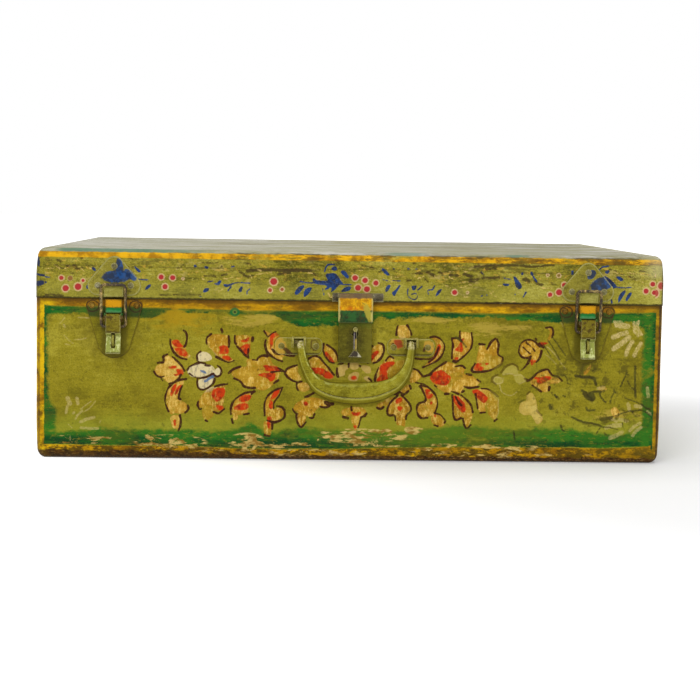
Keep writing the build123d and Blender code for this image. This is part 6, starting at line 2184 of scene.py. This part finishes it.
def bracket_bits(blots):
    """What the flower painter laid over a bracket: leaning dabs of tan, vermilion and umber; under them a
    painted shade along its lower edge and a painted highlight along its upper edge.
    """

    def overlay(w, place, colour):
        rough = w.ripple(1.4, place, 0.4, 5.0, 0.75)
        # Painted shade along the bracket's lower edge.
        low = w.rise(w.add(w.axes(place)[2], w.times(rough, 2.0)), 89.6, 88.0)
        colour = w.tint(colour, (46, 36, 10), low, 0.8)
        # A painted highlight along the bracket's upper edge.
        high = w.rise(w.add(w.axes(place)[2], w.times(rough, 2.0)), 99.6, 101.0)
        colour = w.tint(colour, (178, 170, 96), high, 0.5)
        for middle, halves, turn, tone in blots:
            dab = w.rise(w.add(w.blot(place, middle, halves, turn), rough), 0.0, 0.3)
            colour = w.layer(w.times(dab, 0.88), colour, tone)
        return colour

    return overlay


# ---------------------------------------------------------------- operators


def body_dents(x, y, z):
    """Hollows of the walls between the fittings: bell-shaped dents on the front and the back."""
    front = np.where(y < -BODY_HALF_DEPTH + 0.5, 1.0, 0.0)
    back = np.where(y > BODY_HALF_DEPTH - 0.5, 1.0, 0.0)
    total = front * hollows(x, z, BODY_FRONT_DENTS) + back * hollows(x, z, BODY_BACK_DENTS)
    hold = np.clip((SEAM_X - np.abs(x)) / BODY_DENT_FADE, 0, 1)
    hold *= np.clip((BODY_WALL_TOP - BODY_RIM_STIFF - z) / BODY_RIM_FADE, 0, 1)
    return np.minimum(total * hold * skin_settings().dent_depth, BODY_DENT_OUT)


def lid_dents(x, y, z):
    """A wavering crease along the front of the lid, bell-shaped dents, a notch knocked into the
    folded edge and a slack top."""
    front = np.where(y < -LID_HALF_DEPTH + 0.5, 1.0, 0.0)
    crease_z = CREASE_Z + 2.2 * np.sin(x / 47.0) + 1.3 * np.sin(x / 19.0 + 1.0)
    crease = -CREASE_DEPTH * np.exp(-((z - crease_z) / CREASE_HALF) ** 2) * (0.7 + 0.3 * np.sin(x / 31.0))
    ridge = RIDGE_HEIGHT * np.exp(-((z - crease_z - RIDGE_ABOVE) / RIDGE_HALF) ** 2)
    total = front * (crease + ridge + hollows(x, z, LID_FRONT_DENTS))
    from_fold = np.hypot(y - NOTCH_Y, z - NOTCH_Z)
    for middle, half, depth in LID_EDGE_NOTCHES:
        total += -depth * np.exp(-((x - middle) / half) ** 2) * np.exp(-(from_fold / NOTCH_REACH) ** 2)
    top = np.clip((z - LID_TOP + 1.0), 0, 1)
    slack = np.clip((LID_HALF_DEPTH - np.abs(y)) / SLACK_FROM_FRONT, 0, 1)
    slack *= np.clip((SEAM_X - np.abs(x)) / SLACK_FROM_SEAM, 0, 1)
    total += top * (-TOP_SLACK * slack + hollows(x, y, LID_TOP_DENTS))
    hold = np.clip((SEAM_X - np.abs(x)) / LID_DENT_FADE, 0, 1)
    hold *= np.clip((z - LID_FOOT - LID_FOOT_STIFF) / LID_FOOT_FADE, 0, 1)
    return np.minimum(total * hold * skin_settings().dent_depth, 0.0)


def body_end_swell(y, z):
    """How far the body's ends stand out from the seam: full at mid-height, drawn in a little towards
    the floor, with two shallow dents."""
    low = np.clip((BODY_END_DRAW_HEIGHT - z) / BODY_END_DRAW_HEIGHT, 0, 1)
    dents = hollows(y, z, BODY_END_DENTS)
    return END_SWELL - BODY_END_DRAW * low**2 - dents * np.clip((152 - np.abs(y)) / 20, 0, 1)


def lid_end_swell(_, z):
    """How far the lid's ends stand out from the seam: they lean in towards the top."""
    high = np.clip((z - LID_END_DRAW_FROM) / (LID_TOP - LID_END_DRAW_FROM), 0, 1)
    return END_SWELL - LID_END_DRAW * high**2


class TRUNK_OT_effects(bpy.types.Operator):
    """Builds the shared paint effects"""

    bl_idname = "trunk.effects"
    bl_label = "Paint effects"

    def execute(self, context):
        make_groups()
        return {"FINISHED"}


class TRUNK_OT_body_skin(bpy.types.Operator):
    """Builds the folded sheet of the body with its painted front"""

    bl_idname = "trunk.body_skin"
    bl_label = "Body skin"

    def execute(self, context):
        s = skin_settings()
        cell, plain = s.motif_cell, s.plain_cell
        across = spread([(-SEAM_X, plain / 2), (-162.0, cell), (176.0, plain / 2), (SEAM_X, plain)])
        wall = spread([(BODY_WALL_TOP, plain), (118.0, cell), (20.0, plain), (BODY_FOLD, plain)])
        canvas = Canvas(across, wall, ["petal", "tone", "blush", "remains", "ink", "fan", "stain", "worn",
                                       "mark"])
        canvas.fields.update(level_bands(across, wall))
        for tone, outline in PETALS:
            canvas.outline("petal", outline, "tone", tone)
        for name, outlines in (("blush", BLUSHES), ("remains", PALE_PATCHES)):
            for outline in outlines:
                canvas.outline(name, outline)
        for width, line in OUTLINES:
            canvas.stroke("ink", width * 1.2, line, 1.5)
        for name, rows in (("fan", FANS), ("stain", STAINS), ("worn", WORN), ("mark", MARKS)):
            for width, line in rows:
                canvas.stroke(name, width, line)
        profile = folded_profile(wall, BODY_HALF_DEPTH, 0.0, BODY_FOLD, np.linspace(-1, 1, 15), 5, 9)
        piece = folded_skin("body_skin", "body", "body_wrap", profile, across, canvas,
                            body_dents, True)
        piece.data.materials.append(make_finish("Painted body wall", paint_body_skin))
        return {"FINISHED"}


class TRUNK_OT_lid_skin(bpy.types.Operator):
    """Builds the folded sheet of the lid with its painted front"""

    bl_idname = "trunk.lid_skin"
    bl_label = "Lid skin"

    def execute(self, context):
        across = spread([(-SEAM_X, LID_CELL), (SEAM_X, LID_CELL)])
        wall = spread([(LID_FOOT, LID_ROW), (LID_TOP - LID_FOLD, LID_ROW)])
        canvas = Canvas(across, wall, ["leaf", "berry", "redness", "ring", "scrape", "rub"])
        for x, z, core, halo, redness in BERRIES:
            canvas.spot("ring", x, z, min(halo, core + 0.75) if core > 0 else halo * 0.8)
            if core > 0:
                canvas.spot("berry", x, z, core * 0.9, "redness", redness)
        for outline in LEAVES:
            canvas.outline("leaf", outline)
        for name, rows in (("leaf", STEMS), ("scrape", SCRAPES), ("rub", RUBS)):
            for width, line in rows:
                canvas.stroke(name, width, line)
        profile = folded_profile(wall, LID_HALF_DEPTH, LID_TOP, LID_FOLD, np.linspace(-1, 1, 90), 8, 9)
        piece = folded_skin("lid_skin", "lid", "lid_wrap", profile, across, canvas,
                            lid_dents, False)
        piece.data.materials.append(make_finish("Painted lid", paint_lid_skin))
        return {"FINISHED"}


class TRUNK_OT_ends(bpy.types.Operator):
    """Paints the pressed ends and the rolled rim"""

    bl_idname = "trunk.ends"
    bl_label = "Ends and rim"

    def execute(self, context):
        body_paint = make_finish("Painted body end", paint_body_end)
        lid_paint = make_finish("Painted lid end", paint_lid_end)
        for name, side in (("left", -1.0), ("right", 1.0)):
            panel = end_panel(f"body_{name}_panel", "body", f"body_end_{name}", side,
                              BODY_HALF_DEPTH, BODY_FOLD, BODY_WALL_TOP, 0.0, body_end_swell)
            panel.data.materials.append(body_paint)
            panel = end_panel(f"lid_{name}_panel", "lid", f"lid_end_{name}", side,
                              LID_HALF_DEPTH, LID_FOLD, LID_FOOT, LID_TOP, lid_end_swell)
            panel.data.materials.append(lid_paint)
        paint_fitting(["body_rim"], "Rim paint", (96, 90, 44), (60, 48, 24), (132, 126, 72), wear=0.2)
        return {"FINISHED"}


class TRUNK_OT_latches(bpy.types.Operator):
    """Paints the two draw latches"""

    bl_idname = "trunk.latches"
    bl_label = "Draw latches"

    def execute(self, context):
        olive = ((118, 106, 16), (66, 56, 6), (156, 144, 56))
        plate = ((128, 118, 14), (88, 80, 6), (158, 148, 44))
        leaves = {
            "left": [((-189.5, 148.6), (12.5, 5.2), 0.05), ((-187.2, 155.0), (3.2, 8.5), 0.1),
                     ((-178.5, 150.0), (6.5, 3.0), -0.7)],
            "right": [((203.0, 148.0), (11.0, 5.8), 0.35), ((194.0, 155.5), (4.4, 3.2), 0.9)],
        }
        for side, middle_x in (("left", -LATCH_X), ("right", LATCH_X)):
            # Each catch plate's wide pale rim is rubbed paint and a painted highlight on its raised edge.
            paint_fitting([f"latch_{side}_catch"], f"Catch plate {side}", (142, 132, 40), (74, 68, 16),
                          (180, 170, 84), bare=(176, 172, 116), wear=0.2, rim=0.0022,
                          overlay=plate_leaves(leaves[side]))
            # Each latch base's rim goes dark all round: painted shade and grime along the plate's outline.
            paint_fitting([f"latch_{side}_base"], f"Latch base {side}", *plate, bare=(74, 56, 14), wear=0.3,
                          rim=0.002, overlay=boss_bands(middle_x))
            paint_fitting([f"latch_{side}_lever"], f"Latch lever {side}", *olive, wear=0.12,
                          overlay=lever_end)
            paint_fitting([f"latch_{side}_hook", f"latch_{side}_staple"], f"Latch hook {side}",
                          (148, 142, 58), (92, 84, 28), (178, 172, 92), wear=0.16)
            # The bail's light tone stands for its painted highlights.
            paint_fitting([f"latch_{side}_bail", f"latch_{side}_pin"], f"Bail wire {side}", (72, 56, 20),
                          (24, 16, 6), (226, 196, 116), wear=0.05, sheen=0.35, overlay=wire_tones)
        return {"FINISHED"}


class TRUNK_OT_lock(bpy.types.Operator):
    """Paints the hasp, the lock and its works"""

    bl_idname = "trunk.lock"
    bl_label = "Hasp and lock"

    def execute(self, context):
        paint_fitting(["lock_case"], "Lock plate", (86, 80, 14), (48, 42, 8), (120, 114, 36),
                      bare=(120, 112, 56), wear=0.04, overlay=case_tones, sheen=0.08)
        paint_fitting(["hasp_strap"], "Hasp strap", (120, 108, 40), (70, 58, 24), (160, 148, 80),
                      bare=(110, 108, 60), wear=0.05, overlay=strap_bands)
        paint_fitting(["hasp_leaf"], "Hasp barrel", (88, 80, 58), (44, 36, 28), (150, 142, 118), wear=0.12)
        paint_fitting(["keyhole_cover"], "Keyhole cover", (98, 90, 34), (34, 30, 10), (168, 150, 70),
                      wear=0.02, overlay=cover_tones)
        steel = fitting_finish("Lock works", (128, 124, 112), (70, 62, 50), (168, 164, 150), wear=0.2,
                               metal=0.8)
        dress(["lock_bolt", "lock_spring", "lock_key_post", "hasp_pin", "body_rim_wire"], steel)
        return {"FINISHED"}


class TRUNK_OT_handle(bpy.types.Operator):
    """Paints the handle and its brackets"""

    bl_idname = "trunk.handle"
    bl_label = "Handle"

    def execute(self, context):
        handle_skin().data.materials.append(fitting_finish("Handle paint", (148, 140, 32), (96, 88, 10),
                                                           (182, 176, 72), bare=(190, 184, 120), wear=0.0,
                                                           overlay=handle_lines, sheen=0.08))
        olive = ((136, 126, 26), (88, 78, 10), (162, 152, 56))
        tan, umber = pigment(186, 146, 52), pigment(60, 24, 10)
        left = [((-58.0, 94.0), (6.0, 8.0), 0.2, tan), ((-52.0, 90.0), (2.0, 6.0), 0.9, umber),
                ((-30.0, 95.0), (4.0, 5.4), 0.0, umber),
                ((-30.0, 95.2), (2.8, 4.0), 0.0, pigment(140, 128, 44))]
        right = [((37.0, 97.4), (6.6, 5.6), 0.0, tan), ((38.0, 97.0), (4.4, 4.6), 0.5, pigment(150, 44, 22)),
                 ((34.0, 95.0), (1.6, 3.6), 0.2, umber), ((63.0, 95.0), (5.0, 5.4), 0.3, tan),
                 ((60.0, 93.6), (1.5, 4.4), -0.6, umber)]
        paint_fitting(["handle_bracket_left"], "Left bracket", *olive, wear=0.06, overlay=bracket_bits(left))
        paint_fitting(["handle_bracket_right"], "Right bracket", *olive, wear=0.06,
                      overlay=bracket_bits(right))
        paint_fitting(["handle_pins"], "Handle pins", (110, 100, 52), (64, 50, 26), (168, 158, 110),
                      wear=0.25)
        return {"FINISHED"}


class TRUNK_OT_hinges(bpy.types.Operator):
    """Paints the hinges and all the rivets"""

    bl_idname = "trunk.hinges"
    bl_label = "Hinges and rivets"

    def execute(self, context):
        leaf = fitting_finish("Hinge leaves", (112, 102, 34), (72, 52, 24), (150, 142, 76), wear=0.16)
        parts = ("body_leaf", "lid_leaf", "pin")
        names = [f"hinge_{side}_{part}" for side in ("left", "right") for part in parts]
        dress(names, leaf)
        rivet = fitting_finish("Rivet heads", (122, 112, 44), (70, 60, 24), (164, 156, 92), wear=0.2)
        dress(["hinge_body_rivets", "hinge_lid_rivets", "handle_rivets", "keyhole_rivet"], rivet)
        paint_fitting(["catch_rivets"], "Catch rivets", (128, 122, 74), (58, 50, 44), (196, 190, 160),
                      wear=0.2)
        paint_fitting(["latch_base_rivets"], "Base rivets", (128, 92, 14), (54, 38, 10), (196, 156, 60),
                      bare=(60, 44, 14), wear=0.3)
        return {"FINISHED"}


class TRUNK_OT_stage(bpy.types.Operator):
    """Makes the floor, the room light, the lamps and the camera"""

    bl_idname = "trunk.stage"
    bl_label = "Stage"

    def seen(self, w):
        """1 for rays that show a surface to the eye, and 0 for those that only light it."""
        rays = w.node("LightPath").outputs
        return w.highest(rays["Is Camera Ray"], rays["Is Glossy Ray"], rays["Is Transmission Ray"])

    def lamp(self, name, place, target, size, power):
        """A rectangular lamp at a place, turned to its target."""
        light = bpy.data.lights.new(name, "AREA")
        light.shape = "RECTANGLE"
        light.size, light.size_y = size
        light.energy = power
        holder = bpy.data.objects.new(name, light)
        holder.location = place
        holder.rotation_euler = (Vector(target) - Vector(place)).to_track_quat("-Z", "Y").to_euler()
        bpy.context.scene.collection.objects.link(holder)

    def execute(self, context):
        s = context.scene.trunk_stage
        world = bpy.data.worlds.new("Room")
        world.use_nodes = True
        world.node_tree.nodes.clear()
        w = Wiring(world.node_tree)
        room = w.node("Background", {"Color": WHITE, "Strength": w.weigh(self.seen(w), s.sky, 1.0)})
        w.tree.links.new(room.outputs[0], w.node("OutputWorld").inputs["Surface"])
        context.scene.world = world

        floor_mesh = bpy.data.meshes.new("floor")
        signs = ((-1, -1), (1, -1), (1, 1), (-1, 1))
        corners = [(right * FLOOR_REACH, back * FLOOR_REACH, 0) for right, back in signs]
        floor_mesh.from_pydata(corners, [], [(0, 1, 2, 3)])
        floor = bpy.data.objects.new("floor", floor_mesh)
        context.scene.collection.objects.link(floor)
        pale = bpy.data.materials.new("Pale floor")
        pale.use_nodes = True
        pale.node_tree.nodes.clear()
        w = Wiring(pale.node_tree)
        matt = w.node("BsdfDiffuse", {"Color": (0.82, 0.82, 0.82, 1.0)})
        x, y, _ = w.axes(w.node("TexCoord").outputs["Object"])
        across, behind = w.take(x, GLOW_MIDDLE[0]), w.take(y, GLOW_MIDDLE[1])
        distance = w.math("SQRT", w.add(w.times(across, across), w.times(behind, behind)))
        share = w.weigh(w.rise(distance, GLOW_INNER, GLOW_OUTER), 0.12, 1.0)
        glow = w.node("Emission", {"Color": WHITE, "Strength": w.times(self.seen(w), share)})
        both = w.node("AddShader", {0: matt.outputs[0], 1: glow.outputs[0]})
        w.tree.links.new(both.outputs[0], w.node("OutputMaterial").inputs["Surface"])
        floor_mesh.materials.append(pale)

        for name, place, target, size, power in LAMPS:
            self.lamp(name, place, target, size, getattr(s, power))

        camera = bpy.data.cameras.new("camera")
        camera.lens = s.lens
        camera.sensor_width = CAMERA_SENSOR
        camera.shift_y = CAMERA_SHIFT_UP
        camera.clip_end = CAMERA_RANGE
        holder = bpy.data.objects.new("camera", camera)
        holder.matrix_world = camera_matrix()
        context.scene.collection.objects.link(holder)
        context.scene.camera = holder
        context.scene.view_settings.view_transform = "Standard"
        return {"FINISHED"}


def camera_matrix():
    """The camera's place and its three axes: level axes turned by pitch, then roll, then yaw."""
    right = Vector((1.0, 0.0, 0.0))
    ahead = Vector((0.0, math.cos(CAMERA_PITCH), -math.sin(CAMERA_PITCH)))
    up = Vector((0.0, math.sin(CAMERA_PITCH), math.cos(CAMERA_PITCH)))
    rolled_right = right * math.cos(CAMERA_ROLL) + up * math.sin(CAMERA_ROLL)
    rolled_up = up * math.cos(CAMERA_ROLL) - right * math.sin(CAMERA_ROLL)
    turn = Matrix.Rotation(CAMERA_YAW, 3, "Z")
    axes = Matrix([turn @ rolled_right, turn @ rolled_up, -(turn @ ahead)]).transposed()
    return Matrix.Translation(CAMERA_PLACE) @ axes.to_4x4()


class TRUNK_PT_panel(bpy.types.Panel):
    """Lists the settings and the steps that build the trunk"""

    bl_idname = "TRUNK_PT_panel"
    bl_label = "Tin trunk"
    bl_space_type = "VIEW_3D"
    bl_region_type = "UI"
    bl_category = "Tin trunk"

    def draw(self, context):
        for group in (context.scene.trunk_skin, context.scene.trunk_paint, context.scene.trunk_stage):
            box = self.layout.box()
            for name in group.__annotations__:
                box.prop(group, name)
        for step in STEPS:
            self.layout.operator(step.bl_idname)


STEPS = (
    TRUNK_OT_effects,
    TRUNK_OT_body_skin,
    TRUNK_OT_lid_skin,
    TRUNK_OT_ends,
    TRUNK_OT_latches,
    TRUNK_OT_lock,
    TRUNK_OT_handle,
    TRUNK_OT_hinges,
    TRUNK_OT_stage,
)
CLASSES = (TrunkSkinSettings, TrunkPaintSettings, TrunkStageSettings) + STEPS + (TRUNK_PT_panel,)


def register():
    for cls in CLASSES:
        bpy.utils.register_class(cls)
    bpy.types.Scene.trunk_skin = PointerProperty(type=TrunkSkinSettings)
    bpy.types.Scene.trunk_paint = PointerProperty(type=TrunkPaintSettings)
    bpy.types.Scene.trunk_stage = PointerProperty(type=TrunkStageSettings)


def unregister():
    del bpy.types.Scene.trunk_skin
    del bpy.types.Scene.trunk_paint
    del bpy.types.Scene.trunk_stage
    for cls in reversed(CLASSES):
        bpy.utils.unregister_class(cls)


def main():
    """Builds the trunk step by step."""
    register()
    bpy.ops.trunk.effects()
    bpy.ops.trunk.body_skin()
    bpy.ops.trunk.lid_skin()
    bpy.ops.trunk.ends()
    bpy.ops.trunk.latches()
    bpy.ops.trunk.lock()
    bpy.ops.trunk.handle()
    bpy.ops.trunk.hinges()
    bpy.ops.trunk.stage()


if __name__ == "__main__":
    main()
